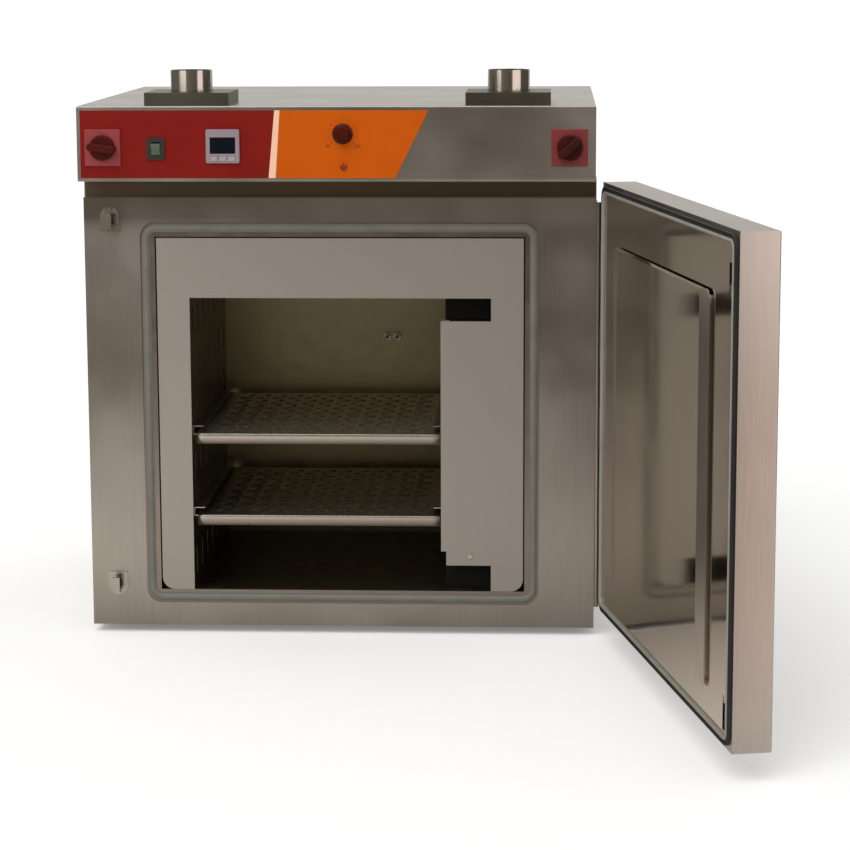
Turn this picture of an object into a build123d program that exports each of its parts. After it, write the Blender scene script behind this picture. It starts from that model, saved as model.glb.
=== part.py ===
from build123d import *
from math import atan2, cos, degrees, pi, radians, sin
import os

os.makedirs("parts", exist_ok=True)

# A bench-top cleanroom oven with its door standing open.
# Millimetres. X runs to the right, Y to the back and Z up. The origin is on the
# bench, midway between the four feet.

# Cabinet: outer sizes, sheet and insulated walls
CAB_W = 740.0
CAB_D = 570.0
BODY_H = 660.0
HEADER_H = 107.0
HEADER_INSET = 2.0
HEADER_OVERHANG = 53.0
SHEET = 1.5
RETURN = 15.0
BEND_R = 3.0
SIDE_WALL = 102.0
BACK_WALL = 152.0
FLOOR_WALL = 53.5
TOP_WALL = 84.0
BAND_H = 27.0
BAND_SETBACK = 10.0
UPSTAND = 20.0
REAR_INSULATION = 82.0
INSULATION_GAP = 8.5
INSULATION_IN = 5.0

# Feet
FOOT_H = 12.0
FOOT_R = 19.0
FOOT_HOLE_R = 3.3
FOOT_INSET = 70.0

# Working chamber
TANK_T = 1.5
TANK_FLANGE = 30.0
LINING = 1.2
DUCT_W = 49.0
DUCT_H = 89.0
PANEL_GAP = 2.0
PANEL_R = 18.0
PANEL_RETURN = 12.0
SEAL_MARGIN = 19.0
SEAL_FLOOR_MARGIN = 17.5
SEAL_W = 12.0
SEAL_H = 3.5
SEAL_R = 22.0
SEAL_CLEAR = 2.0
SLOT_W = 14.0
SLOT_H = 40.0
SLOT_COLUMNS = 7
SLOT_ROWS = 6

# Filter at the right of the chamber
FILTER_T = 66.0
FILTER_FLANGE = 12.0
FILTER_LOW = 59.2
FILTER_HIGH = 33.6
FILTER_REAR = 18.0
PLEATS = 26
PLEAT_DEPTH = 22.0
MEDIA_SPREAD = 4.0
COVER_OUT = 6.2
COVER_RETURN = 15.0
COVER_LIP_H = 21.0
COVER_LIP_INSET = 7.6
COVER_LAP = 8.0
SEAT_SETBACK = 24.0

# Shelves and their runners
SHELF_TOPS = {"upper": 298.7, "lower": 177.0}
SHELF_SIDE_GAP = 6.5
SHELF_FRONT = 6.0
SHELF_LIP = 15.0
SHELF_REAR_GAP = 33.0
SHELF_COLUMNS = 7
SHELF_ROWS = 4
SHELF_SLOT_W = 8.0
SHELF_SLOT_D = 60.0
RUNNER_W = 16.0
RUNNER_MOUTH = 9.0
RUNNER_START = 12.0
RUNNER_REAR_GAP = 18.0
RUNNER_CLEAR = 0.3

# Fan, heater and probes
FAN_X = -90.0
FAN_Y = 0.0
FAN_R = 85.0
FAN_EYE_R = 48.0
FAN_H = 45.0
FAN_BLADES = 9
FAN_CLEAR = 14.0
SHAFT_R = 6.0
SHAFT_CLEAR = 0.3
MOTOR_R = 55.0
MOTOR_H = 85.0
HEATER_R = 4.0
HEATER_X = (60.0, 90.0, 120.0, 150.0)
HEATER_L = 270.0
PROBE_R = 3.0
PROBE_L = 30.0
PROBE_X = (42.0, 58.0)
PROBE_DROP = 202.0

# Door, drawn closed and then swung open about the hinge
DOOR_T = 50.0
DOOR_GAP = 8.0
DOOR_TOP_GAP = 4.0
DOOR_LOW = 28.0
DOOR_FREE_INSET = 6.5
DOOR_HINGE_INSET = 0.5
DOOR_RIM = 22.0
DOOR_OPEN = 101.5
LINER_T = 1.5
LINER_INSET = 17.0
LINER_R = 12.0
GASKET_IN = 4.6
GASKET_W = 5.4
GASKET_H = 4.5
BEAD_IN = 10.4
BEAD_W = 6.2
BEAD_H = 5.7
BEAD_R = 15.0

# Continuous hinge
PIVOT_OUT = 3.6
PIVOT_FRONT = 3.0
KNUCKLE_R = 3.5
KNUCKLES = 10
KNUCKLE_GAP = 0.4
PIN_R = 1.5
PIN_FIT = 0.08
LEAF_T = 1.5
LEAF_W = 30.0
LEAF_CLEAR = 4.0
HINGE_LOW = 5.0
HINGE_HIGH = 29.0

# Latch: recessed turn grip, two rods and their keeps
DISH_R = 38.0
DISH_BORE_R = 33.0
DISH_DEPTH = 22.0
DISH_T = 1.2
HANDLE_IN = 52.0
GRIP_L = 52.0
GRIP_W = 12.0
GRIP_PROUD = 3.0
GRIP_THICK = 17.0
SPINDLE_R = 5.0
SPINDLE_L = 16.0
CASE_H = 110.0
CASE_SIDE = 22.0
CASE_RIM_GAP = 0.7
ROD_R = 4.0
ROD_IN = 31.5
ROD_SET = 13.5
ROD_START = 22.0
LATCH_CLEAR = 0.3
KEEP_W = 28.0
KEEP_L = 35.0
KEEP_T = 2.0
KEEP_ARM_AT = 8.0
KEEP_ARM_T = 3.0
KEEP_LIP_END = 29.5
KEEP_LIP_W = 10.0
KEEP_SLOT_W = 13.0
KEEP_SLOT = (11.5, 26.5)
KEEP_DROP = 37.0
KEEP_RISE = 17.4
ROD_TIP = 32.5
POCKET_W = 16.0
POCKET_DEPTH = 17.0
POCKET_FAR = 3.0
POCKET_NEAR = 46.0
POCKET_T = 1.2

# Screws
SCREW_HEAD_R = 3.8
SCREW_HEAD_H = 2.4
SCREW_R = 1.9
SCREW_L = 6.0
SCREW_HOLE_R = 2.2
KEEP_SCREWS = (4.1, 30.8)
REAR_SCREW_IN = 45.0

# Header controls, placed from the header's left or right edge and underside
OVERLAY_T = 0.5
OVERLAY_LEFT = 5.0
OVERLAY_MARGIN = 5.0
RED_END = (272.9, 282.1)
ORANGE_END = (453.0, 500.0)
ISOLATOR_IN = 37.0
ISOLATOR_Z = 48.0
ISOLATOR_PLATE = (51.0, 52.0, 3.0)
ISOLATOR_NECK_R = 11.0
ISOLATOR_BODY = (42.0, 42.0, 34.0)
KNOB_R = 18.0
KNOB_BASE = 7.0
KNOB_BAR_L = 40.0
KNOB_BAR_W = 11.0
KNOB_BAR_H = 13.0
KNOB_SHAFT_R = 3.0
LEFT_KNOB_ANGLE = -8.0
RIGHT_KNOB_ANGLE = 42.0
ROCKER_X = 112.8
ROCKER_Z = 46.4
ROCKER_FRAME = (25.0, 31.0, 2.0)
ROCKER_HOLE = (13.0, 19.0)
ROCKER_BODY_D = 20.0
ROCKER_TILT = 7.0
ROCKER_PIVOT = 3.0
TRUNNION_R = 1.5
TRUNNION_L = 1.2
TRUNNION_FIT = 0.06
CONTROL_X = 208.4
CONTROL_Z = 50.0
CONTROL_SIZE = 48.0
CONTROL_BODY = 44.4
CONTROL_PROUD = 4.0
CONTROL_DEPTH = 60.0
DISPLAY = (36.4, 23.2, 0.9)
DISPLAY_RISE = 1.2
KEY = (9.6, 7.0, 3.2)
KEY_PROUD = 1.0
KEY_PITCH = 12.6
KEY_DROP = 17.6
KEY_POCKET = 3.8
LIMIT_X = 378.6
LIMIT_Z = 67.4
LIMIT_R = 14.5
LIMIT_H = 15.0
LIMIT_BODY = (38.0, 38.0, 30.0)
LAMP_Z = 20.8
LAMP_R = 4.8
LAMP_BODY_R = 3.9
CUT_CLEAR = 0.3

# Exhaust boxes and their spigots on the header
VENT_W = 120.0
VENT_H = 18.0
VENT_FRONT = 3.0
VENT_LEFT_IN = 157.0
VENT_RIGHT_IN = 124.0
SPIGOT_R = 30.0
SPIGOT_T = 1.5
SPIGOT_H = 30.0
SPIGOT_FLANGE = 5.0
NECK_CLEAR = 0.5
NECK_RISE = 0.8

# Cable gland and cooling slots at the back
GLAND_X = 250.0
GLAND_Z = 68.0
GLAND_BORE_R = 5.0
GLAND_STEM_R = 10.0
GLAND_HEX = 26.0
GLAND_L = 30.0
LOUVRE_W = 60.0
LOUVRE_H = 5.0
LOUVRE_ROWS = 6
LOUVRE_PITCH = 15.0

# Places worked out from the sizes above
LEFT = -CAB_W / 2
RIGHT = CAB_W / 2
FRONT = -CAB_D / 2
BACK = CAB_D / 2
BODY_Z0 = FOOT_H
BODY_Z1 = FOOT_H + BODY_H
FRAME_Z1 = BODY_Z1 - BAND_H
HEADER_Z1 = BODY_Z1 + HEADER_H
HEADER_X0 = LEFT + HEADER_INSET
HEADER_X1 = RIGHT - HEADER_INSET
FASCIA = FRONT - HEADER_OVERHANG
CHAMBER_X = RIGHT - SIDE_WALL
CHAMBER_Z0 = BODY_Z0 + FLOOR_WALL
CHAMBER_Z1 = BODY_Z1 - TOP_WALL
CHAMBER_Y1 = BACK - BACK_WALL
OPEN_X = CHAMBER_X - DUCT_W
OPEN_Z1 = CHAMBER_Z1 - DUCT_H
TANK_FRONT = FRONT + SHEET
SEAL_X = CHAMBER_X + SEAL_MARGIN
SEAL_Z0 = CHAMBER_Z0 - SEAL_FLOOR_MARGIN
SEAL_Z1 = CHAMBER_Z1 + SEAL_MARGIN
PANEL_FRONT = FRONT + 2.0
PANEL_BACK = PANEL_FRONT + SHEET
PANEL_X = CHAMBER_X - PANEL_GAP
PANEL_Z1 = CHAMBER_Z1 - PANEL_GAP
FILTER_X1 = OPEN_X - 1.0
FILTER_X0 = FILTER_X1 - FILTER_T
FILTER_Z0 = CHAMBER_Z0 + FILTER_LOW
FILTER_Z1 = OPEN_Z1 - FILTER_HIGH
FILTER_Y0 = PANEL_BACK + COVER_RETURN
FILTER_Y1 = CHAMBER_Y1 - FILTER_REAR
COVER_X0 = FILTER_X0 - COVER_OUT
SHELF_X0 = -OPEN_X + SHELF_SIDE_GAP
SHELF_X1 = COVER_X0 - 1.3
SHELF_Y0 = FRONT + SHELF_FRONT
SHELF_Y1 = CHAMBER_Y1 - SHELF_REAR_GAP
SHAFT_HOLE_R = SHAFT_R + 2.0
DOOR_X0 = LEFT + DOOR_FREE_INSET
DOOR_X1 = RIGHT - DOOR_HINGE_INSET
DOOR_Z0 = BODY_Z0 + DOOR_LOW
DOOR_Z1 = BODY_Z1 - DOOR_TOP_GAP
DOOR_Y1 = FRONT - DOOR_GAP
DOOR_Y0 = DOOR_Y1 - DOOR_T
PIVOT_X = RIGHT + PIVOT_OUT
PIVOT_Y = FRONT - PIVOT_FRONT
HANDLE_X = DOOR_X0 + HANDLE_IN
HANDLE_Z = (DOOR_Z0 + DOOR_Z1) / 2
DISH_FLOOR = DOOR_Y0 + DISH_DEPTH
ROD_X = DOOR_X0 + ROD_IN
ROD_Y = FRONT - ROD_SET
KEEP_TOP = DOOR_Z1 - KEEP_DROP
KEEP_BOTTOM = DOOR_Z0 + KEEP_RISE
VENT_Y = FASCIA + VENT_FRONT + VENT_W / 2
VENT_CENTRES = (HEADER_X0 + VENT_LEFT_IN, HEADER_X1 - VENT_RIGHT_IN)
FEET = [(x, y) for x in (LEFT + FOOT_INSET, RIGHT - FOOT_INSET)
        for y in (FRONT + FOOT_INSET, BACK - FOOT_INSET)]


def block(x0, x1, y0, y1, z0, z1):
    """A box given by its six faces."""
    middle = Pos((x0 + x1) / 2, (y0 + y1) / 2, (z0 + z1) / 2)
    return middle * Box(x1 - x0, y1 - y0, z1 - z0)


def post(x, y, z0, z1, radius):
    """A round bar along Z."""
    return Pos(x, y, (z0 + z1) / 2) * Cylinder(radius, z1 - z0)


def pin_y(x, z, y0, y1, radius):
    """A round bar along Y."""
    return Pos(x, (y0 + y1) / 2, z) * Rot(90, 0, 0) * Cylinder(radius, y1 - y0)


def front_plane(y, x=0.0, z=0.0):
    """A sketch plane that faces the front: its first axis is X, its second Z."""
    return Plane(origin=(x, y, z), x_dir=(1, 0, 0), z_dir=(0, -1, 0))


def side_plane(x, y=0.0, z=0.0):
    """A sketch plane that faces right: its first axis is Y, its second Z."""
    return Plane(origin=(x, y, z), x_dir=(0, 1, 0), z_dir=(1, 0, 0))


def folded_box(corners, opening, wall, bend=0.0):
    """A sheet-metal box with one open face. A radius bends its sheet round the closed face."""
    outer = block(*corners)
    way = Axis((0, 0, 0), opening)
    if bend:
        outer = fillet(outer.faces().sort_by(way)[0].edges(), bend)
    return offset(outer, amount=-wall, openings=[outer.faces().sort_by(way)[-1]])


def ring(x0, x1, z0, z1, width, radius):
    """A rounded rectangular ring, as a sketch in X and Z."""
    middle = Pos((x0 + x1) / 2, (z0 + z1) / 2)
    outer = RectangleRounded(x1 - x0, z1 - z0, radius)
    inner = RectangleRounded(x1 - x0 - 2 * width, z1 - z0 - 2 * width, max(radius - width, 1.0))
    return middle * (outer - inner)


def group(solids):
    """Separate solids that share one name."""
    return Compound(children=list(solids))


def drill(piece, screws):
    """Clearance holes for the screws that pass through a piece."""
    for x, y, z, _ in screws:
        piece -= pin_y(x, z, y - 2 * SCREW_L, y + 2 * SCREW_L, SCREW_HOLE_R)
    return piece


# Screws: each is an X, Y, Z of its head's seat, and 1 where the head faces back or
# -1 where it faces the front.
def screw_places():
    edge_x = RIGHT - SHEET - RETURN / 2
    heights = (BODY_Z0 + REAR_SCREW_IN, BODY_Z1 - REAR_SCREW_IN)
    rear = [(side * edge_x, BACK, z, 1) for side in (-1, 1) for z in heights]
    header_x = HEADER_X1 - REAR_SCREW_IN
    header = [(side * header_x, BACK, BODY_Z1 + UPSTAND / 2 + SHEET, 1) for side in (-1, 1)]
    keeps = [(ROD_X, FRONT - KEEP_T, KEEP_TOP - drop, -1) for drop in KEEP_SCREWS]
    keeps += [(ROD_X, FRONT - KEEP_T, KEEP_BOTTOM + rise, -1) for rise in KEEP_SCREWS]
    cover_z = FILTER_Z0 - COVER_LIP_H / 3
    cover = [((COVER_X0 + OPEN_X) / 2 + 5.6, PANEL_BACK, cover_z, -1)]
    return {"rear": rear, "header": header, "keeps": keeps, "cover": cover}


SCREWS = screw_places()


def screw(x, y, z, side):
    """A hexagon-headed screw with a plain shank."""
    head = extrude(RegularPolygon(SCREW_HEAD_R, 6), amount=SCREW_HEAD_H)
    shank = Pos(0, 0, -SCREW_L / 2) * Cylinder(SCREW_R, SCREW_L)
    return Pos(x, y, z) * Rot(-90 * side, 0, 0) * (head + shank)


def panel_screws():
    return group(screw(*place) for places in SCREWS.values() for place in places)


# Cabinet shell: a base pan, two side panels, the front frame and the rear panel
def base_pan():
    edge_x = RIGHT - SHEET
    edge_y = BACK - SHEET
    top = BODY_Z0 + SHEET
    pan = block(-edge_x, edge_x, -edge_y, edge_y, BODY_Z0, top)
    for side in (-1, 1):
        x0, x1 = sorted((side * edge_x, side * (edge_x - SHEET)))
        pan += block(x0, x1, -edge_y + SHEET, edge_y - RETURN, top, top + UPSTAND)
        y0, y1 = sorted((side * edge_y, side * (edge_y - SHEET)))
        pan += block(-edge_x + RETURN + CUT_CLEAR, edge_x - RETURN - CUT_CLEAR, y0, y1,
                     top, top + UPSTAND)
    for x, y in FEET:
        pan -= post(x, y, BODY_Z0 - 1, top + 1, FOOT_HOLE_R)
    return pan


def side_panel(side):
    """A panel folded in at its top and back, notched beside the recessed band."""
    def strip(x_in, x_out, y0, y1, z0, z1):
        x0, x1 = sorted((side * (RIGHT - x_in), side * (RIGHT - x_out)))
        return block(x0, x1, y0, y1, z0, z1)
    y0 = FRONT + SHEET
    panel = strip(SHEET, 0, y0, BACK, BODY_Z0, BODY_Z1)
    panel += strip(SHEET + RETURN, SHEET, FRONT + BAND_SETBACK + 2 * SHEET, BACK - 2 * SHEET,
                   BODY_Z1 - SHEET, BODY_Z1)
    panel += strip(SHEET + RETURN, SHEET, BACK - 2 * SHEET, BACK - SHEET,
                   BODY_Z0 + SHEET, BODY_Z1)
    panel -= strip(SHEET + 1, -1, y0 - 1, FRONT + BAND_SETBACK, FRAME_Z1, BODY_Z1 + 1)
    return drill(panel, SCREWS["rear"])


def front_frame():
    """The stainless front with its rounded opening and the recessed band above."""
    height = FRAME_Z1 - BODY_Z0
    plate = Pos(0, (FRAME_Z1 + BODY_Z0) / 2) * Rectangle(CAB_W, height)
    hole_w = 2 * (SEAL_X + SEAL_CLEAR)
    hole_h = SEAL_Z1 - SEAL_Z0 + 2 * SEAL_CLEAR
    hole = Pos(0, (SEAL_Z0 + SEAL_Z1) / 2) * RectangleRounded(hole_w, hole_h, SEAL_R)
    frame = extrude(front_plane(FRONT + SHEET) * (plate - hole), amount=SHEET)
    inner_x = RIGHT - SHEET
    for side in (-1, 1):
        x0, x1 = sorted((side * inner_x, side * (inner_x - SHEET)))
        frame += block(x0, x1, FRONT + SHEET, FRONT + RETURN, BODY_Z0 + UPSTAND + 2 * SHEET, FRAME_Z1)
    frame += block(-inner_x, inner_x, FRONT + SHEET, FRONT + BAND_SETBACK + SHEET,
                   FRAME_Z1 - SHEET, FRAME_Z1)
    frame += block(-inner_x, inner_x, FRONT + BAND_SETBACK, FRONT + BAND_SETBACK + SHEET,
                   FRAME_Z1, BODY_Z1)
    for far, way in ((KEEP_TOP, -1), (KEEP_BOTTOM, 1)):
        frame -= keep_slot(far, way, FRONT - 1, FRONT + SHEET + 1)
    return drill(frame, SCREWS["keeps"])


def rear_panel():
    """The screwed rear panel, with two groups of cooling slots and the gland hole."""
    gap = CUT_CLEAR
    width = CAB_W - 2 * SHEET - 2 * gap
    sheet = Pos(0, (BODY_Z0 + BODY_Z1) / 2) * Rectangle(width, BODY_H - 2 * gap)
    top = BODY_Z1 - 70
    slots = [Pos(x, top - row * LOUVRE_PITCH) * Rectangle(LOUVRE_W, LOUVRE_H)
             for x in (-CAB_W / 5, CAB_W / 5) for row in range(LOUVRE_ROWS)]
    sheet -= slots
    sheet -= Pos(GLAND_X, BODY_Z0 + GLAND_Z) * Circle(GLAND_STEM_R + gap)
    panel = extrude(front_plane(BACK) * sheet, amount=SHEET)
    return drill(panel, SCREWS["rear"])


def foot(x, y):
    """A round rubber foot with a bolt hole right through it."""
    return post(x, y, 0, FOOT_H, FOOT_R) - post(x, y, -1, FOOT_H + 1, FOOT_HOLE_R)


# Chamber: insulation, welded tank, seal and the linings that steer the air
def chamber_insulation():
    slab = block(LEFT + INSULATION_IN, RIGHT - INSULATION_IN, FRONT + BAND_SETBACK + 2 * SHEET,
                 CHAMBER_Y1 + REAR_INSULATION, BODY_Z0 + SHEET + INSULATION_GAP, BODY_Z1 - INSULATION_IN)
    slab -= block(-CHAMBER_X - TANK_T, CHAMBER_X + TANK_T, FRONT, CHAMBER_Y1 + TANK_T,
                  CHAMBER_Z0 - TANK_T, CHAMBER_Z1 + TANK_T)
    slab -= post(FAN_X, FAN_Y, CHAMBER_Z1, BODY_Z1, SHAFT_HOLE_R)
    return slab


def inner_chamber():
    """The tank's five walls and the four strips of its flange, which are welded edge to
    edge. The flange lies behind the front frame."""
    wall = TANK_T
    x, y0, y1, z0, z1 = CHAMBER_X, TANK_FRONT, CHAMBER_Y1, CHAMBER_Z0, CHAMBER_Z1
    floor = block(-x, x, y0, y1, z0 - wall, z0)
    ceiling = block(-x, x, y0, y1, z1, z1 + wall)
    ceiling -= post(FAN_X, FAN_Y, z1 - 1, z1 + wall + 1, SHAFT_HOLE_R)
    rear = block(-x - wall, x + wall, y1, y1 + wall, z0 - wall, z1 + wall)
    pieces = [floor, ceiling, rear]
    for side in (-1, 1):
        near, far = side * (x + wall), side * (x + TANK_FLANGE)
        wall_x = sorted((side * x, near))
        pieces.append(block(*wall_x, y0, y1, z0 - wall, z1 + wall))
        pieces.append(block(*sorted((near, far)), y0, y0 + wall, z0 - wall, z1 + wall))
    edge = x + TANK_FLANGE
    pieces.append(block(-edge, edge, y0, y0 + wall, z1 + wall, z1 + TANK_FLANGE))
    pieces.append(block(-edge, edge, y0, y0 + wall, z0 - TANK_FLANGE, z0 - wall))
    return group(pieces)


def chamber_seal():
    """A rounded silicone bead round the chamber's mouth."""
    sketch = ring(-SEAL_X, SEAL_X, SEAL_Z0, SEAL_Z1, SEAL_W, SEAL_R)
    return extrude(front_plane(TANK_FRONT) * sketch, amount=SEAL_H)


def chamber_front_flange():
    """The light inverted-U panel round the working opening, folded back at its edge."""
    height = PANEL_Z1 - CHAMBER_Z0
    outline = Pos(0, (PANEL_Z1 + CHAMBER_Z0) / 2) * Rectangle(2 * PANEL_X, height)
    outline = fillet(outline.vertices().group_by(Axis.Y)[0], PANEL_R)
    opening = Pos(0, (CHAMBER_Z0 + OPEN_Z1) / 2 - 1) * Rectangle(2 * OPEN_X, OPEN_Z1 - CHAMBER_Z0 + 2)
    panel = extrude(front_plane(PANEL_BACK) * (outline - opening), amount=SHEET)
    for side in (-1, 1):
        x0, x1 = sorted((side * PANEL_X, side * (PANEL_X - SHEET)))
        panel += block(x0, x1, PANEL_BACK, PANEL_FRONT + PANEL_RETURN, CHAMBER_Z0 + PANEL_R, PANEL_Z1)
    panel += block(-PANEL_X, PANEL_X, PANEL_BACK, PANEL_FRONT + PANEL_RETURN, PANEL_Z1 - SHEET, PANEL_Z1)
    return panel


def air_return_panel():
    """The left lining, slotted where the air goes back to the fan."""
    depth = CHAMBER_Y1 - PANEL_BACK
    height = OPEN_Z1 - CHAMBER_Z0
    holes = GridLocations(depth / SLOT_COLUMNS, height / SLOT_ROWS, SLOT_COLUMNS, SLOT_ROWS)
    sheet = Rectangle(depth, height) - [place * Rectangle(SLOT_W, SLOT_H) for place in holes]
    plane = side_plane(-OPEN_X - LINING, (PANEL_BACK + CHAMBER_Y1) / 2, (CHAMBER_Z0 + OPEN_Z1) / 2)
    return extrude(plane * sheet, amount=LINING)


def ceiling_panel():
    return block(-OPEN_X - LINING, OPEN_X, PANEL_BACK, CHAMBER_Y1, OPEN_Z1, OPEN_Z1 + LINING)


def hepa_filter():
    """A boxed filter: a metal frame round a pack of vertical pleats."""
    frame = block(FILTER_X0, FILTER_X1, FILTER_Y0, FILTER_Y1, FILTER_Z0, FILTER_Z1)
    frame -= block(FILTER_X0 - 1, FILTER_X1 + 1, FILTER_Y0 + FILTER_FLANGE, FILTER_Y1 - FILTER_FLANGE,
                   FILTER_Z0 + FILTER_FLANGE, FILTER_Z1 - FILTER_FLANGE)
    y0 = FILTER_Y0 + FILTER_FLANGE
    y1 = FILTER_Y1 - FILTER_FLANGE
    step = (y1 - y0) / (2 * PLEATS)
    near = (FILTER_X0 + FILTER_X1) / 2 - PLEAT_DEPTH / 2
    front = [(near + PLEAT_DEPTH * (i % 2), y0 + step * i) for i in range(2 * PLEATS + 1)]
    back = [(x + MEDIA_SPREAD, y) for x, y in reversed(front)]
    z0, z1 = FILTER_Z0 + FILTER_FLANGE, FILTER_Z1 - FILTER_FLANGE
    pack = extrude(Pos(0, 0, z0) * make_face(Polyline(*front, *back, close=True)), amount=z1 - z0)
    return group([frame, pack])


def filter_front_cover():
    """The bent cover in front of the filter, with the lip that its screw goes through."""
    y0 = PANEL_BACK
    x1 = OPEN_X + COVER_LAP
    cover = block(COVER_X0, x1, y0, y0 + SHEET, FILTER_Z0, FILTER_Z1)
    cover += block(COVER_X0, COVER_X0 + SHEET, y0, FILTER_Y0, FILTER_Z0, FILTER_Z1)
    cover += block(COVER_X0, FILTER_X0 + COVER_OUT, FILTER_Y0 - SHEET, FILTER_Y0, FILTER_Z0, FILTER_Z1)
    cover += block(COVER_X0 + COVER_LIP_INSET, x1, y0, y0 + SHEET, FILTER_Z0 - COVER_LIP_H, FILTER_Z0)
    return drill(cover, SCREWS["cover"])


def filter_seats():
    """Channels that close the space below, above and behind the filter."""
    y0 = PANEL_BACK + SEAT_SETBACK

    def channel(y_start, y_end, z0, z1):
        box = block(FILTER_X0, FILTER_X1, y_start, y_end, z0, z1)
        return box - block(FILTER_X0 + LINING, FILTER_X1 + 1, y_start + LINING, y_end - LINING,
                           z0 + LINING, z1 - LINING)
    return group([
        channel(y0, CHAMBER_Y1, CHAMBER_Z0, FILTER_Z0),
        channel(y0, CHAMBER_Y1, FILTER_Z1, OPEN_Z1),
        channel(FILTER_Y1, CHAMBER_Y1, FILTER_Z0, FILTER_Z1),
    ])


# Shelves on C-shaped runners
def runner(web_x, way, y0, width, shelf_top):
    """One runner. way is 1 where the shelf lies to its right."""
    y1 = CHAMBER_Y1 - RUNNER_REAR_GAP
    low = shelf_top - LINING - RUNNER_CLEAR
    high = shelf_top + RUNNER_MOUTH
    web = sorted((web_x, web_x + way * LINING))
    flange = sorted((web_x, web_x + way * width))
    piece = block(*web, y0, y1, low - LINING, high + LINING)
    piece += block(*flange, y0, y1, low - LINING, low)
    piece += block(*flange, y0, y1, high, high + LINING)
    return piece


def shelf_runners():
    pieces = []
    for top in SHELF_TOPS.values():
        pieces.append(runner(-OPEN_X, 1, FRONT + RUNNER_START, RUNNER_W, top))
        pieces.append(runner(FILTER_X0, -1, FILTER_Y0 + 0.5, RUNNER_W + 2, top))
    return group(pieces)


def shelf(top):
    """A perforated shelf, folded down at the front and between the runners at the back."""
    width = SHELF_X1 - SHELF_X0
    depth = SHELF_Y1 - SHELF_Y0
    field_w = width - 2 * RUNNER_W - 14
    field_d = depth - 34
    holes = GridLocations(field_w / SHELF_COLUMNS, field_d / SHELF_ROWS, SHELF_COLUMNS, SHELF_ROWS)
    sheet = Rectangle(width, depth) - [place * Rectangle(SHELF_SLOT_W, SHELF_SLOT_D) for place in holes]
    middle = Pos((SHELF_X0 + SHELF_X1) / 2, (SHELF_Y0 + SHELF_Y1) / 2, top - LINING)
    piece = extrude(middle * sheet, amount=LINING)
    piece += block(SHELF_X0, SHELF_X1, SHELF_Y0, SHELF_Y0 + LINING, top - SHELF_LIP, top - LINING)
    x0 = -OPEN_X + RUNNER_W + 2
    x1 = FILTER_X0 - RUNNER_W - 4
    piece += block(x0, x1, SHELF_Y1 - LINING, SHELF_Y1, top - SHELF_LIP, top - LINING)
    return piece


# Fan, heater and probes
def fan_blade(index):
    """One curved blade, swept back from the direction of turn."""
    lead = 360.0 / FAN_BLADES * index
    points = []
    for share in (0.0, 0.5, 1.0):
        radius = FAN_EYE_R + (FAN_R - 1.0 - FAN_EYE_R) * share
        angle = radians(lead - 34.0 * share + 8.0 * share * share)
        points.append((radius * cos(angle), radius * sin(angle)))
    return trace(ThreePointArc(*points), line_width=1.5)


FAN_Z0 = OPEN_Z1 + LINING + FAN_CLEAR
MOTOR_Z0 = BODY_Z1 + SHEET


def fan_wheel():
    """A backward-curved blower wheel: a back disc with its hub, blades and inlet ring."""
    plate = extrude(Circle(FAN_R), amount=1.5)
    hub = Pos(0, 0, -12) * extrude(Circle(2.2 * SHAFT_R), amount=13.5)
    eye = Pos(0, 0, 1.5 - FAN_H) * extrude(Circle(FAN_R) - Circle(FAN_EYE_R), amount=1.5)
    wheel = plate + hub + eye
    for index in range(FAN_BLADES):
        wheel += Pos(0, 0, 1.5 - FAN_H) * extrude(fan_blade(index), amount=FAN_H - 0.5)
    wheel -= Cylinder(SHAFT_R, 4 * FAN_H)
    return Pos(FAN_X, FAN_Y, FAN_Z0 + FAN_H - 1.5) * wheel


def fan_shaft():
    return post(FAN_X, FAN_Y, FAN_Z0 + FAN_H - 13.5, MOTOR_Z0 + 32, SHAFT_R)


def fan_motor():
    """The motor, turned about the fan's axis, with a blind bore for the shaft."""
    bore = SHAFT_R + SHAFT_CLEAR
    profile = Polyline((bore, 0), (MOTOR_R + 8, 0), (MOTOR_R + 8, 4), (MOTOR_R, 4),
                       (MOTOR_R, MOTOR_H), (0, MOTOR_H),
                       (0, 33), (bore, 33), close=True)
    return Pos(FAN_X, FAN_Y, MOTOR_Z0) * revolve(make_face(Plane.XZ * profile), Axis.Z)


def heater_elements():
    """Straight rod heaters that stand out from the rear wall of the upper duct."""
    z = (OPEN_Z1 + LINING + CHAMBER_Z1) / 2
    return group(pin_y(x, z, CHAMBER_Y1 - HEATER_L, CHAMBER_Y1, HEATER_R) for x in HEATER_X)


def temperature_probes():
    """Two probes, each with a hexagonal gland against the rear wall."""
    pieces = []
    for x in PROBE_X:
        z = CHAMBER_Z1 - PROBE_DROP
        nut = extrude(front_plane(CHAMBER_Y1, x, z) * RegularPolygon(7, 6), amount=5)
        stem = pin_y(x, z, CHAMBER_Y1 - PROBE_L, CHAMBER_Y1 - 4, PROBE_R)
        stem = chamfer(stem.faces().sort_by(Axis.Y)[0].edges(), PROBE_R / 3)
        pieces.append(nut + stem)
    return group(pieces)


# Door latch: keeps on the frame, rods and grip in the door
def keep_slot(far, way, y0, y1):
    """The slot behind a keep's lip. far is the keep's outer end, way the sign of Z
    from there towards the middle of the door."""
    z0, z1 = sorted((far + way * KEEP_SLOT[0], far + way * KEEP_SLOT[1]))
    sketch = Pos(ROD_X, (z0 + z1) / 2) * Rot(0, 0, 90) * SlotOverall(z1 - z0, KEEP_SLOT_W)
    return extrude(front_plane(y1) * sketch, amount=y1 - y0)


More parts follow.
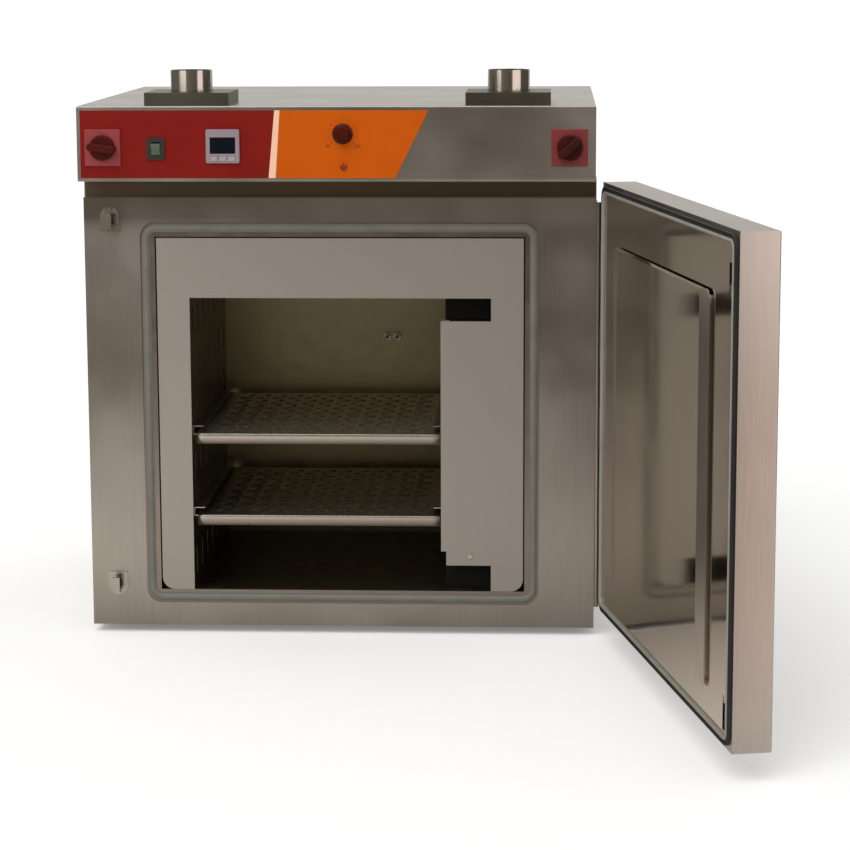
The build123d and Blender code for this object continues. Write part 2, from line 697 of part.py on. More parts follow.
def latch_keep(far, way, screws):
    """A hooked keep: its lip stands in front of the rod when the rod is out."""
    def span(a, b):
        return sorted((far + way * a, far + way * b))
    z0, z1 = span(0, KEEP_L)
    plate = Pos(ROD_X, (z0 + z1) / 2) * Rectangle(KEEP_W, KEEP_L)
    plate = fillet([v for v in plate.vertices() if abs(v.Y - far) < 0.01], KEEP_W / 2 - 0.5)
    plate = fillet([v for v in plate.vertices() if abs(v.Y - far) > KEEP_L - 0.01], 3)
    keep = extrude(front_plane(FRONT) * plate, amount=KEEP_T)
    keep -= keep_slot(far, way, FRONT - KEEP_T - 1, FRONT + 1)
    lip_back = ROD_Y - ROD_R - 0.8
    x0, x1 = ROD_X - KEEP_LIP_W / 2, ROD_X + KEEP_LIP_W / 2
    keep += block(x0, x1, lip_back - KEEP_ARM_T, FRONT - KEEP_T, *span(KEEP_ARM_AT, KEEP_ARM_AT + KEEP_ARM_T))
    keep += block(x0, x1, lip_back - KEEP_ARM_T, lip_back, *span(KEEP_ARM_AT, KEEP_LIP_END))
    return drill(keep, screws)


def latch_rod(far, way):
    """A round rod, chamfered where it enters its keep."""
    tip = far + way * ROD_TIP
    root = HANDLE_Z - way * ROD_START
    z0, z1 = sorted((tip, root))
    rod = post(ROD_X, ROD_Y, z0, z1, ROD_R)
    end = rod.faces().sort_by(Axis.Z)[0 if tip < root else -1]
    return chamfer(end.edges(), 1.0)


def latch_case():
    """The closed lock case, bored for the grip's spindle and the two rods."""
    y1 = DOOR_Y1
    case = block(DOOR_X0 + DOOR_RIM + CASE_RIM_GAP, HANDLE_X + CASE_SIDE, DISH_FLOOR + DISH_T, y1,
                 HANDLE_Z - CASE_H / 2, HANDLE_Z + CASE_H / 2)
    case = fillet(case.edges().filter_by(Axis.Y), 3)
    for way in (-1, 1):
        z0, z1 = sorted((HANDLE_Z + way * (ROD_START - 2), HANDLE_Z + way * CASE_H))
        case -= post(ROD_X, ROD_Y, z0, z1, ROD_R + LATCH_CLEAR)
    case -= pin_y(HANDLE_X, HANDLE_Z, DISH_FLOOR, DISH_FLOOR + SPINDLE_L + 2, SPINDLE_R + LATCH_CLEAR)
    return case


def handle_dish():
    """The round recess in the door's face, turned as one cup with a flange."""
    floor = DISH_DEPTH
    hole = SPINDLE_R + LATCH_CLEAR
    rim = -DISH_T
    wall = DISH_BORE_R + DISH_T
    profile = Polyline((hole, floor), (DISH_BORE_R, floor), (DISH_BORE_R, rim), (DISH_R, rim),
                       (DISH_R, 0), (wall, 0), (wall, floor + DISH_T), (hole, floor + DISH_T), close=True)
    cup = revolve(make_face(Plane.XZ * profile), Axis.Z)
    return Pos(HANDLE_X, DOOR_Y0, HANDLE_Z) * Rot(-90, 0, 0) * cup


def turn_grip():
    """The grip bar across the dish, its hub and its spindle."""
    y0 = DOOR_Y0 - GRIP_PROUD
    bar = extrude(front_plane(y0 + GRIP_THICK, HANDLE_X, HANDLE_Z) * SlotOverall(GRIP_L, GRIP_W),
                  amount=GRIP_THICK)
    bar = chamfer(bar.faces().sort_by(Axis.Y)[0].edges(), 2.0)
    hub = pin_y(HANDLE_X, HANDLE_Z, y0 + GRIP_THICK - 1, DISH_FLOOR - 0.4, SPINDLE_R + 5)
    spindle = pin_y(HANDLE_X, HANDLE_Z, DISH_FLOOR - 1, DISH_FLOOR + SPINDLE_L, SPINDLE_R)
    return bar + hub + spindle


# Door: a folded pan, a polished liner, insulation and two seals
def door_outer_pan():
    corners = (DOOR_X0, DOOR_X1, DOOR_Y0, DOOR_Y1, DOOR_Z0, DOOR_Z1)
    pan = folded_box(corners, (0, 1, 0), SHEET, BEND_R)
    rim = block(DOOR_X0 + SHEET, DOOR_X1 - SHEET, DOOR_Y1 - SHEET, DOOR_Y1, DOOR_Z0 + SHEET, DOOR_Z1 - SHEET)
    rim -= block(DOOR_X0 + DOOR_RIM, DOOR_X1 - DOOR_RIM, DOOR_Y1 - SHEET - 1, DOOR_Y1 + 1,
                 DOOR_Z0 + DOOR_RIM, DOOR_Z1 - DOOR_RIM)
    pan += rim
    pan -= pin_y(HANDLE_X, HANDLE_Z, DOOR_Y0 - 1, DOOR_Y0 + SHEET + 1, DISH_BORE_R + DISH_T + CUT_CLEAR)
    around = POCKET_T + CUT_CLEAR
    for far, way in ((KEEP_TOP, -1), (KEEP_BOTTOM, 1)):
        z0, z1 = pocket_span(far, way)
        pan -= block(ROD_X - POCKET_W / 2 - around, ROD_X + POCKET_W / 2 + around,
                     DOOR_Y1 - SHEET - 1, DOOR_Y1 + 1, z0 - around, z1 + around)
    return pan


def pocket_span(far, way):
    return sorted((far + way * POCKET_FAR, far + way * POCKET_NEAR))


def door_liner():
    """The polished inner skin, with a pocket for each keep."""
    x0, x1 = DOOR_X0 + LINER_INSET, DOOR_X1 - LINER_INSET
    z0, z1 = DOOR_Z0 + LINER_INSET, DOOR_Z1 - LINER_INSET
    y0, y1 = DOOR_Y1, DOOR_Y1 + LINER_T
    sheet = Pos((x0 + x1) / 2, (z0 + z1) / 2) * RectangleRounded(x1 - x0, z1 - z0, LINER_R)
    liner = extrude(front_plane(y1) * sheet, amount=LINER_T)
    px0, px1 = ROD_X - POCKET_W / 2, ROD_X + POCKET_W / 2
    floor = y0 - POCKET_DEPTH
    for far, way in ((KEEP_TOP, -1), (KEEP_BOTTOM, 1)):
        pz0, pz1 = pocket_span(far, way)
        liner += block(px0 - POCKET_T, px1 + POCKET_T, floor - POCKET_T, y0, pz0 - POCKET_T, pz1 + POCKET_T)
        liner -= block(px0, px1, floor, y1 + 1, pz0, pz1)
        near = far + way * POCKET_NEAR
        liner -= post(ROD_X, ROD_Y, near - 2, near + 2, ROD_R + LATCH_CLEAR)
    return liner


def door_insulation():
    x0 = HANDLE_X + DISH_BORE_R + DISH_T + 2
    margin = DOOR_RIM + 0.5
    return block(x0, DOOR_X1 - margin, DOOR_Y0 + SHEET, DOOR_Y1, DOOR_Z0 + margin, DOOR_Z1 - margin)


def door_gasket():
    """The black strip between the door pan and the bead."""
    edge = GASKET_IN
    sketch = ring(DOOR_X0 + edge, DOOR_X1 - edge, DOOR_Z0 + edge, DOOR_Z1 - edge, GASKET_W, BEAD_R + 5)
    return extrude(front_plane(DOOR_Y1 + GASKET_H) * sketch, amount=GASKET_H)


def door_seal():
    """The pale round bead that meets the front frame."""
    edge = BEAD_IN
    sketch = ring(DOOR_X0 + edge, DOOR_X1 - edge, DOOR_Z0 + edge, DOOR_Z1 - edge, BEAD_W, BEAD_R)
    return extrude(front_plane(DOOR_Y1 + BEAD_H) * sketch, amount=BEAD_H)


# Hinge: interleaved knuckles along one pin
def knuckle_spans(parity):
    """The heights of every other knuckle, with a running gap at both ends."""
    z0 = DOOR_Z0 + HINGE_LOW
    z1 = DOOR_Z1 - HINGE_HIGH
    pitch = (z1 - z0) / KNUCKLES
    return [(z0 + pitch * i + KNUCKLE_GAP / 2, z0 + pitch * (i + 1) - KNUCKLE_GAP / 2)
            for i in range(parity, KNUCKLES, 2)]


def hinge_leaf(parity, x0, edge_y, far_y):
    """One leaf: a plate beside the pin, with a tab and a knuckle in each of its spans."""
    x1 = x0 + LEAF_T
    z0 = DOOR_Z0 + HINGE_LOW
    z1 = DOOR_Z1 - HINGE_HIGH
    leaf = block(x0, x1, *sorted((edge_y, far_y)), z0, z1)
    for low, high in knuckle_spans(parity):
        leaf += block(x0, x1, *sorted((edge_y, PIVOT_Y)), low, high)
        leaf += post(PIVOT_X, PIVOT_Y, low, high, KNUCKLE_R)
    return leaf - post(PIVOT_X, PIVOT_Y, z0 - 1, z1 + 1, PIN_R + PIN_FIT)


def hinge_pin():
    return post(PIVOT_X, PIVOT_Y, DOOR_Z0 + HINGE_LOW, DOOR_Z1 - HINGE_HIGH, PIN_R)


# Header: casing, floor and the controls on its front
def red_end(share):
    """The slanted right edge of the red overlay, from the foot up."""
    return HEADER_X0 + RED_END[0] + (RED_END[1] - RED_END[0]) * share


def isolator_x(side):
    return HEADER_X0 + ISOLATOR_IN if side < 0 else HEADER_X1 - ISOLATOR_IN


ROCKER_AT = (HEADER_X0 + ROCKER_X, BODY_Z1 + ROCKER_Z)
CONTROL_AT = (HEADER_X0 + CONTROL_X, BODY_Z1 + CONTROL_Z)
LIMIT_AT = (HEADER_X0 + LIMIT_X, BODY_Z1 + LIMIT_Z)
LAMP_AT = (HEADER_X0 + LIMIT_X + 1.0, BODY_Z1 + LAMP_Z)
ISOLATOR_AT = {-1: (isolator_x(-1), BODY_Z1 + ISOLATOR_Z), 1: (isolator_x(1), BODY_Z1 + ISOLATOR_Z)}


def control_cuts():
    """The holes behind the controls, as one sketch in X and Z."""
    gap = 2 * CUT_CLEAR
    cuts = Pos(*CONTROL_AT) * Rectangle(CONTROL_BODY + gap, CONTROL_BODY + gap)
    cuts += Pos(*ROCKER_AT) * Rectangle(ROCKER_HOLE[0] + 4 + gap, ROCKER_HOLE[1] + 3 + gap)
    cuts += Pos(*LIMIT_AT) * Circle(KNOB_SHAFT_R + CUT_CLEAR)
    cuts += Pos(*LAMP_AT) * Circle(LAMP_BODY_R + CUT_CLEAR)
    for place in ISOLATOR_AT.values():
        cuts += Pos(*place) * Circle(ISOLATOR_NECK_R + CUT_CLEAR)
    return cuts


def header_casing():
    """A folded cover, open below, with the control cut-outs and the exhaust holes."""
    corners = (HEADER_X0, HEADER_X1, FASCIA, BACK, BODY_Z1, HEADER_Z1)
    casing = folded_box(corners, (0, 0, -1), SHEET, BEND_R)
    casing -= extrude(front_plane(FASCIA + SHEET + 1) * control_cuts(), amount=SHEET + 2)
    for x in VENT_CENTRES:
        casing -= post(x, VENT_Y, HEADER_Z1 - SHEET - 1, HEADER_Z1 + 1, SPIGOT_R - SPIGOT_T)
    return drill(casing, SCREWS["header"])


def header_floor():
    """The plate below the header, which also closes the underside of the overhang."""
    x1 = HEADER_X1 - SHEET
    y0, y1 = FASCIA + SHEET, BACK - SHEET
    plate = block(-x1, x1, y0, y1, BODY_Z1, BODY_Z1 + SHEET)
    plate += block(-x1 + BEND_R, x1 - BEND_R, BACK - 2 * SHEET, BACK - SHEET, BODY_Z1 + SHEET, BODY_Z1 + UPSTAND)
    plate -= post(FAN_X, FAN_Y, BODY_Z1 - 1, BODY_Z1 + SHEET + 1, SHAFT_HOLE_R)
    return drill(plate, SCREWS["header"])


def overlay(left_low, left_high, right_low, right_high):
    """A thin coloured sheet on the header's front, with slanted ends."""
    z0 = BODY_Z1 + OVERLAY_MARGIN
    z1 = HEADER_Z1 - OVERLAY_MARGIN - 1.5
    outline = make_face(Polyline((left_low, z0), (right_low, z0), (right_high, z1), (left_high, z1), close=True))
    return extrude(front_plane(FASCIA) * (outline - control_cuts()), amount=OVERLAY_T)


def red_fascia_overlay():
    left = HEADER_X0 + OVERLAY_LEFT
    return overlay(left, left, red_end(0), red_end(1))


def orange_fascia_overlay():
    right_low = HEADER_X0 + ORANGE_END[0]
    right_high = HEADER_X0 + ORANGE_END[1]
    return overlay(red_end(0), red_end(1), right_low, right_high)


def isolator_switch(side):
    """A rotary isolator: front plate, neck through the header and the switch behind."""
    x, z = ISOLATOR_AT[side]
    width, height, thick = ISOLATOR_PLATE
    seat = FASCIA - (OVERLAY_T if side < 0 else 0)
    plate = extrude(front_plane(seat, x, z) * Rectangle(width, height), amount=thick)
    plate = chamfer(plate.faces().sort_by(Axis.Y)[0].edges(), 1.0)
    body_w, body_h, body_d = ISOLATOR_BODY
    back = FASCIA + SHEET
    switch = plate + pin_y(x, z, seat, back + 1, ISOLATOR_NECK_R)
    switch += block(x - body_w / 2, x + body_w / 2, back, back + body_d, z - body_h / 2, z + body_h / 2)
    return switch - pin_y(x, z, seat - thick - 1, seat + 14, KNOB_SHAFT_R + CUT_CLEAR)


def isolator_knob(side, angle):
    """A round knob with a raised bar for the fingers."""
    x, z = ISOLATOR_AT[side]
    seat = FASCIA - (OVERLAY_T if side < 0 else 0) - ISOLATOR_PLATE[2] - CUT_CLEAR
    base = extrude(Circle(KNOB_R), amount=KNOB_BASE)
    base = chamfer(base.faces().sort_by(Axis.Z)[-1].edges(), 1.5)
    bar = extrude(SlotOverall(KNOB_BAR_L, KNOB_BAR_W), amount=KNOB_BASE + KNOB_BAR_H)
    bar = chamfer(bar.faces().sort_by(Axis.Z)[-1].edges(), 1.5)
    shaft = Pos(0, 0, -6) * Cylinder(KNOB_SHAFT_R, 14)
    return front_plane(seat, x, z).location * Rot(0, 0, angle) * (base + bar + shaft)


def rocker_bezel():
    """The rocker's housing: a flange on the overlay and a body through the header."""
    x, z = ROCKER_AT
    width, height, thick = ROCKER_FRAME
    seat = FASCIA - OVERLAY_T
    flange = extrude(front_plane(seat, x, z) * RectangleRounded(width, height, 2), amount=thick)
    body_w, body_h = ROCKER_HOLE[0] + 4, ROCKER_HOLE[1] + 3
    flange += block(x - body_w / 2, x + body_w / 2, seat, FASCIA + ROCKER_BODY_D,
                    z - body_h / 2, z + body_h / 2)
    flange -= block(x - ROCKER_HOLE[0] / 2, x + ROCKER_HOLE[0] / 2, seat - thick - 1, seat + 12,
                    z - ROCKER_HOLE[1] / 2, z + ROCKER_HOLE[1] / 2)
    bore = Rot(0, 90, 0) * Cylinder(TRUNNION_R + TRUNNION_FIT, ROCKER_HOLE[0] + 2 * TRUNNION_L + CUT_CLEAR)
    return flange - Pos(x, seat - thick + ROCKER_PIVOT, z) * bore


def rocker_switch():
    """The rocking button, dished across the middle and resting tilted on two trunnions."""
    x, z = ROCKER_AT
    face = FASCIA - OVERLAY_T - ROCKER_FRAME[2]
    pivot_y = face + ROCKER_PIVOT
    half = ROCKER_HOLE[1] / 2 - 1.35
    profile = Polyline((-2.0 - ROCKER_PIVOT, -half), (-0.6 - ROCKER_PIVOT, 0), (-2.0 - ROCKER_PIVOT, half),
                       (0.5, half), (5.0, 4.0), (5.0, -4.0), (0.5, -half), close=True)
    width = ROCKER_HOLE[0] - 2 * CUT_CLEAR
    button = extrude(make_face(profile), amount=width)
    button += Pos(0, 0, width / 2) * Cylinder(TRUNNION_R, ROCKER_HOLE[0] + 2 * TRUNNION_L)
    plane = side_plane(x - width / 2, pivot_y, z)
    return plane.location * Rot(0, 0, ROCKER_TILT) * button


def controller_case():
    """The controller: a square front frame, recessed for the display and keys."""
    x, z = CONTROL_AT
    half = CONTROL_SIZE / 2
    seat = FASCIA - OVERLAY_T
    face = seat - CONTROL_PROUD
    case = extrude(front_plane(seat, x, z) * RectangleRounded(CONTROL_SIZE, CONTROL_SIZE, 3), amount=CONTROL_PROUD)
    case = chamfer(case.faces().sort_by(Axis.Y)[0].edges(), 1.0)
    body = CONTROL_BODY / 2
    case += block(x - body, x + body, seat, FASCIA + CONTROL_DEPTH, z - body, z + body)
    width, height, depth = DISPLAY
    middle = z + DISPLAY_RISE
    case -= block(x - width / 2, x + width / 2, face - 1, face + depth, middle - height / 2, middle + height / 2)
    for key_x in key_centres():
        half_w, half_h = KEY[0] / 2 + CUT_CLEAR, KEY[1] / 2 + CUT_CLEAR
        key_z = z - KEY_DROP
        case -= block(key_x - half_w, key_x + half_w, face - 1, face + KEY_POCKET, key_z - half_h, key_z + half_h)
    return case


def key_centres():
    return [CONTROL_AT[0] + KEY_PITCH * i for i in (-1, 0, 1)]


def controller_display():
    width, height, depth = DISPLAY
    x, z = CONTROL_AT
    face = FASCIA - OVERLAY_T - CONTROL_PROUD
    middle = z + DISPLAY_RISE
    return block(x - width / 2, x + width / 2, face, face + depth, middle - height / 2, middle + height / 2)


def controller_key(key_x):
    width, height, depth = KEY
    z = CONTROL_AT[1] - KEY_DROP
    face = FASCIA - OVERLAY_T - CONTROL_PROUD
    cap = extrude(front_plane(face - KEY_PROUD + depth, key_x, z) * Rectangle(width, height), amount=depth)
    return chamfer(cap.faces().sort_by(Axis.Y)[0].edges(), 0.5)


def overtemp_thermostat():
    """The limit thermostat behind the header's front, bored for the knob's shaft."""
    x, z = LIMIT_AT
    width, height, depth = LIMIT_BODY
    back = FASCIA + SHEET
    body = block(x - width / 2, x + width / 2, back, back + depth, z - height / 2, z + height / 2)
    return body - pin_y(x, z, back - 1, back + 14, KNOB_SHAFT_R + CUT_CLEAR)


def overtemp_knob():
    """A turned dial knob: a skirt, a tapered grip and a shaft."""
    profile = Polyline((0, 0), (LIMIT_R, 0), (LIMIT_R, 2), (LIMIT_R - 3, 4), (LIMIT_R - 4, LIMIT_H - 1),
                       (LIMIT_R - 5, LIMIT_H), (0, LIMIT_H), close=True)
    body = revolve(make_face(Plane.XZ * profile), Axis.Z)
    shaft = Pos(0, 0, -5) * Cylinder(KNOB_SHAFT_R, 14)
    x, z = LIMIT_AT
    return front_plane(FASCIA - OVERLAY_T - CUT_CLEAR, x, z).location * (body + shaft)


def overtemp_lamp():
    """A small lamp: a bevelled lens on a round body."""
    x, z = LAMP_AT
    seat = FASCIA - OVERLAY_T
    lens = extrude(Circle(LAMP_R), amount=4)
    lens = chamfer(lens.faces().sort_by(Axis.Z)[-1].edges(), 2)
    return front_plane(seat, x, z).location * lens + pin_y(x, z, seat - 1, FASCIA + 18, LAMP_BODY_R)


# Exhaust boxes and spigots on top
def vent_box(x):
    corners = (x - VENT_W / 2, x + VENT_W / 2, VENT_Y - VENT_W / 2, VENT_Y + VENT_W / 2,
               HEADER_Z1, HEADER_Z1 + VENT_H)
    box = folded_box(corners, (0, 0, -1), SHEET)
    return box - post(x, VENT_Y, HEADER_Z1 + SHEET, HEADER_Z1 + VENT_H + 1, SPIGOT_R)


def vent_spigot(x):
    """A pipe stub with a flange below the box's top and a neck through the hole."""
    top = VENT_H + SPIGOT_H
    under = VENT_H - SHEET
    inner = SPIGOT_R - SPIGOT_T
    neck = SPIGOT_R - NECK_CLEAR
    neck_top = VENT_H + NECK_RISE
    outer = SPIGOT_R + SPIGOT_FLANGE
    profile = Polyline((inner, under - SPIGOT_T), (outer, under - SPIGOT_T), (outer, under), (neck, under),
                       (neck, neck_top), (SPIGOT_R, neck_top), (SPIGOT_R, top), (inner, top), close=True)
    return Pos(x, VENT_Y, HEADER_Z1) * revolve(make_face(Plane.XZ * profile), Axis.Z)


def cable_gland():
    """The mains gland: hexagon and dome outside, lock nut inside, bored right through."""
    z = BODY_Z0 + GLAND_Z
    outer = BACK + GLAND_L - 6
    inner = BACK - SHEET
    hexagon = front_plane(BACK + 6, GLAND_X, z) * RegularPolygon(GLAND_HEX / 2, 6, major_radius=False)
    gland = extrude(hexagon, amount=6)
    dome = pin_y(GLAND_X, z, BACK + 5, outer, GLAND_STEM_R + 1)
    gland += chamfer(dome.faces().sort_by(Axis.Y)[-1].edges(), 3)
    gland += pin_y(GLAND_X, z, inner - 6, BACK + 1, GLAND_STEM_R)
    nut = front_plane(inner, GLAND_X, z) * RegularPolygon(GLAND_HEX / 2, 6, major_radius=False)
    gland += Pos(0, -5, 0) * extrude(nut, amount=-5)
    return gland - pin_y(GLAND_X, z, inner - 10, outer + 1, GLAND_BORE_R)


def build_nodes():
    """Every piece, by name. Pieces on the door are swung open at the end."""
    fixed = {
        "base_pan": base_pan(),
        "left_side_panel": side_panel(-1),
        "right_side_panel": side_panel(1),
        "front_frame": front_frame(),
        "rear_panel": rear_panel(),
        "panel_screws": panel_screws(),
        "feet": group(foot(x, y) for x, y in FEET),
        "chamber_insulation": chamber_insulation(),
        "inner_chamber": inner_chamber(),
        "chamber_seal": chamber_seal(),
        "chamber_front_flange": chamber_front_flange(),
        "air_return_panel": air_return_panel(),
        "ceiling_panel": ceiling_panel(),
        "hepa_filter": hepa_filter(),
        "filter_front_cover": filter_front_cover(),
        "filter_seats": filter_seats(),
        "shelf_runners": shelf_runners(),
        "upper_shelf": shelf(SHELF_TOPS["upper"]),
        "lower_shelf": shelf(SHELF_TOPS["lower"]),
        "fan_wheel": fan_wheel(),
        "fan_shaft": fan_shaft(),
        "fan_motor": fan_motor(),
        "heater_elements": heater_elements(),
        "temperature_probes": temperature_probes(),
        "upper_latch_keep": latch_keep(KEEP_TOP, -1, SCREWS["keeps"][:2]),
        "lower_latch_keep": latch_keep(KEEP_BOTTOM, 1, SCREWS["keeps"][2:]),
        "hinge_cabinet_leaf": hinge_leaf(0, RIGHT, FRONT + LEAF_CLEAR - PIVOT_FRONT, FRONT + LEAF_W),
        "hinge_pin": hinge_pin(),
        "header_casing": header_casing(),
        "header_floor": header_floor(),
        "red_fascia_overlay": red_fascia_overlay(),
        "orange_fascia_overlay": orange_fascia_overlay(),
        "left_isolator_switch": isolator_switch(-1),
        "left_isolator_knob": isolator_knob(-1, LEFT_KNOB_ANGLE),
        "right_isolator_switch": isolator_switch(1),
        "right_isolator_knob": isolator_knob(1, RIGHT_KNOB_ANGLE),
        "rocker_bezel": rocker_bezel(),
        "rocker_switch": rocker_switch(),
        "controller_case": controller_case(),
        "controller_display": controller_display(),
        "overtemp_thermostat": overtemp_thermostat(),
        "overtemp_knob": overtemp_knob(),
        "overtemp_lamp": overtemp_lamp(),
        "vent_boxes": group(vent_box(x) for x in VENT_CENTRES),
        "vent_spigots": group(vent_spigot(x) for x in VENT_CENTRES),
        "cable_gland": cable_gland(),
    }
    for number, key_x in enumerate(key_centres(), start=1):
        fixed[f"controller_key_{number}"] = controller_key(key_x)
    door = {
        "door_outer_pan": door_outer_pan(),
        "door_liner": door_liner(),
        "door_insulation": door_insulation(),
        "door_gasket": door_gasket(),
        "door_seal": door_seal(),
        "hinge_door_leaf": hinge_leaf(1, DOOR_X1, PIVOT_Y - LEAF_CLEAR, FRONT - LEAF_W - LEAF_CLEAR),
        "latch_case": latch_case(),
        "handle_dish": handle_dish(),
        "turn_grip": turn_grip(),
        "upper_latch_rod": latch_rod(KEEP_TOP, -1),
        "lower_latch_rod": latch_rod(KEEP_BOTTOM, 1),
    }
    swing = Pos(PIVOT_X, PIVOT_Y, 0) * Rot(0, 0, DOOR_OPEN) * Pos(-PIVOT_X, -PIVOT_Y, 0)
    nodes = dict(fixed)
    for name, piece in door.items():
        nodes[name] = swing * piece
    return nodes


for name, piece in build_nodes().items():
    export_step(piece, f"parts/{name}.step")
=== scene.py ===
import math

import bmesh
import bpy
from mathutils import Matrix, Vector, noise


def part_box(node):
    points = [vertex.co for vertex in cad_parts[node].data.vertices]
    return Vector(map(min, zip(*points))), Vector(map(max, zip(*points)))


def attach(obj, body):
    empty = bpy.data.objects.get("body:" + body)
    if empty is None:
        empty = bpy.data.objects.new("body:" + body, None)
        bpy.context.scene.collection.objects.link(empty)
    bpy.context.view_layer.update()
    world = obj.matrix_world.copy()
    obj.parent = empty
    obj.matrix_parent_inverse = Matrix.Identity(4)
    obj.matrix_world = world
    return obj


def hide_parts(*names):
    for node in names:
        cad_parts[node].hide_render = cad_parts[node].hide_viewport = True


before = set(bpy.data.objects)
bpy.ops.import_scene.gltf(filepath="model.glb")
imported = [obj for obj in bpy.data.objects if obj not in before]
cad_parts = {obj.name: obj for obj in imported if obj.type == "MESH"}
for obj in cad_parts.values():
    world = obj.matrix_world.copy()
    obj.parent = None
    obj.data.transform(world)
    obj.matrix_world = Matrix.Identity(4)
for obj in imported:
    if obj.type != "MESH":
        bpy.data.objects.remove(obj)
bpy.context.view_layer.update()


# Camera. It stands where the photograph was taken from: about four metres in front of
# the oven, right of its middle and a little above it, with a long lens.
EYE = Vector((0.3119, -4.0877, 0.9697))
TURNED_LEFT = 0.04964
TIPPED_DOWN = 0.17061
ROLLED = 0.00359
camera_data = bpy.data.cameras.new("camera")
camera_data.sensor_width = 36.0
camera_data.lens = 112.34
camera_data.clip_end = 400.0
camera = bpy.data.objects.new("camera", camera_data)
bpy.context.collection.objects.link(camera)
camera.matrix_world = (Matrix.Translation(EYE)
                       @ Matrix.Rotation(TURNED_LEFT, 4, "Z")
                       @ Matrix.Rotation(math.pi / 2 - TIPPED_DOWN, 4, "X")
                       @ Matrix.Rotation(-ROLLED, 4, "Z"))
bpy.context.scene.camera = camera
bpy.context.scene.view_settings.view_transform = "Standard"


# Floor and light. A plain pale floor under an even white sky, with one broad sun from
# the front left. Cards round the oven are what its steel mirrors, as a room's walls and
# floor are: they can't be seen themselves and throw no shadow.
FLOOR_HALF = 150.0
FLOOR_COLOUR = "f4f4f2"
FLOOR_GLOW = 0.18
SKY_LIGHT = 0.62
SUN_POWER = 1.55
SUN_SPREAD = math.radians(50)
SUN_AIM = Vector((0.32, 0.80, -0.90))
CARD_FRONT = -1.25
CARD_TOP = 2.4
SIDE_X = 2.6
SIDE_Y = (CARD_FRONT, 2.4)
SIDE_SHADES = ((0.0, "b0a9a1"), (1.0, "76716a"), (0.2, "7e7871"))
ROOM_X = (-SIDE_X, 0.62)
ROOM_SHADES = ((0.0, "d6cac0"), (1.0, "867e74"), (0.085, "877c71"), (0.20, "756b60"), (0.27, "867e73"))
WARM_X = (ROOM_X[1], 3.2)
WARM_GLOW = 2.7
WARM_SHADES = ((0.19, "dcc9c0"), (1.0, "feeeea"), (0.25, "feeeea"))
WINDOW_X = (-1.9, -0.62)
WINDOW_Z = (0.75, 1.5)
WINDOW_Y = CARD_FRONT + 0.01
WINDOW_GLOW = 2.8
WINDOW_SHADES = ((0.0, "d8d6d0"), (1.0, "e4e2dc"))
TABLE_Y = (CARD_FRONT, -0.295)
TABLE_HEIGHT = 0.004
TABLE_GLOW = 1.32
TABLE_SHADES = ((0.0, "fff8f2"), (1.0, "a09890"), (0.40, "f8efe7"), (0.84, "bcb3aa"))
LEFT_TABLE_X = (-SIDE_X, -0.42)
LEFT_TABLE_SHADES = ((0.0, "6e6861"), (1.0, "8a847d"))
SHADED_RIGHT = ((0.0, "ffffff"), (1.0, "cccccc"))
SHADE_X = (-0.5, 0.4)


def linear(colour):
    """The linear values of an sRGB hex colour, with full alpha."""
    channels = [int(colour[i:i + 2], 16) / 255 for i in (0, 2, 4)]
    return [c / 12.92 if c <= 0.04045 else ((c + 0.055) / 1.055) ** 2.4 for c in channels] + [1.0]


def add(tree, kind, sockets=None, stops=None, **settings):
    """Adds one node. Each socket takes a value or another node's output, and a colour
    ramp takes stops of position and hex colour, its two ends first."""
    node = tree.nodes.new(kind)
    for name, value in settings.items():
        setattr(node, name, value)
    for name, value in (sockets or {}).items():
        if isinstance(value, bpy.types.NodeSocket):
            tree.links.new(value, node.inputs[name])
        else:
            node.inputs[name].default_value = value
    for index, (position, colour) in enumerate(stops or ()):
        stop = node.color_ramp.elements[index] if index < 2 else node.color_ramp.elements.new(position)
        stop.position = position
        stop.color = linear(colour)
    return node


def place(name, mesh):
    """Puts a mesh, a light or a text in the scene as an object."""
    thing = bpy.data.objects.new(name, mesh)
    bpy.context.collection.objects.link(thing)
    return thing


def flat_sheet(name, x, y, z=(0, 0)):
    """A plain rectangle: flat where its two heights are the same, and else upright
    from one corner to the other."""
    bm = bmesh.new()
    bmesh.ops.create_grid(bm, x_segments=1, y_segments=1, size=0.5)
    if z[0] == z[1]:
        bmesh.ops.scale(bm, verts=bm.verts, vec=(x[1] - x[0], y[1] - y[0], 1))
    else:
        bmesh.ops.rotate(bm, verts=bm.verts, cent=(0, 0, 0), matrix=Matrix.Rotation(math.pi / 2, 3, "X"))
        bmesh.ops.rotate(bm, verts=bm.verts, cent=(0, 0, 0),
                         matrix=Matrix.Rotation(math.atan2(y[1] - y[0], x[1] - x[0]), 3, "Z"))
        bmesh.ops.scale(bm, verts=bm.verts, vec=(x[1] - x[0] or 1, y[1] - y[0] or 1, z[1] - z[0]))
    bmesh.ops.translate(bm, verts=bm.verts, vec=((x[0] + x[1]) / 2, (y[0] + y[1]) / 2, (z[0] + z[1]) / 2))
    mesh = bpy.data.meshes.new(name)
    bm.to_mesh(mesh)
    bm.free()
    return place(name, mesh)


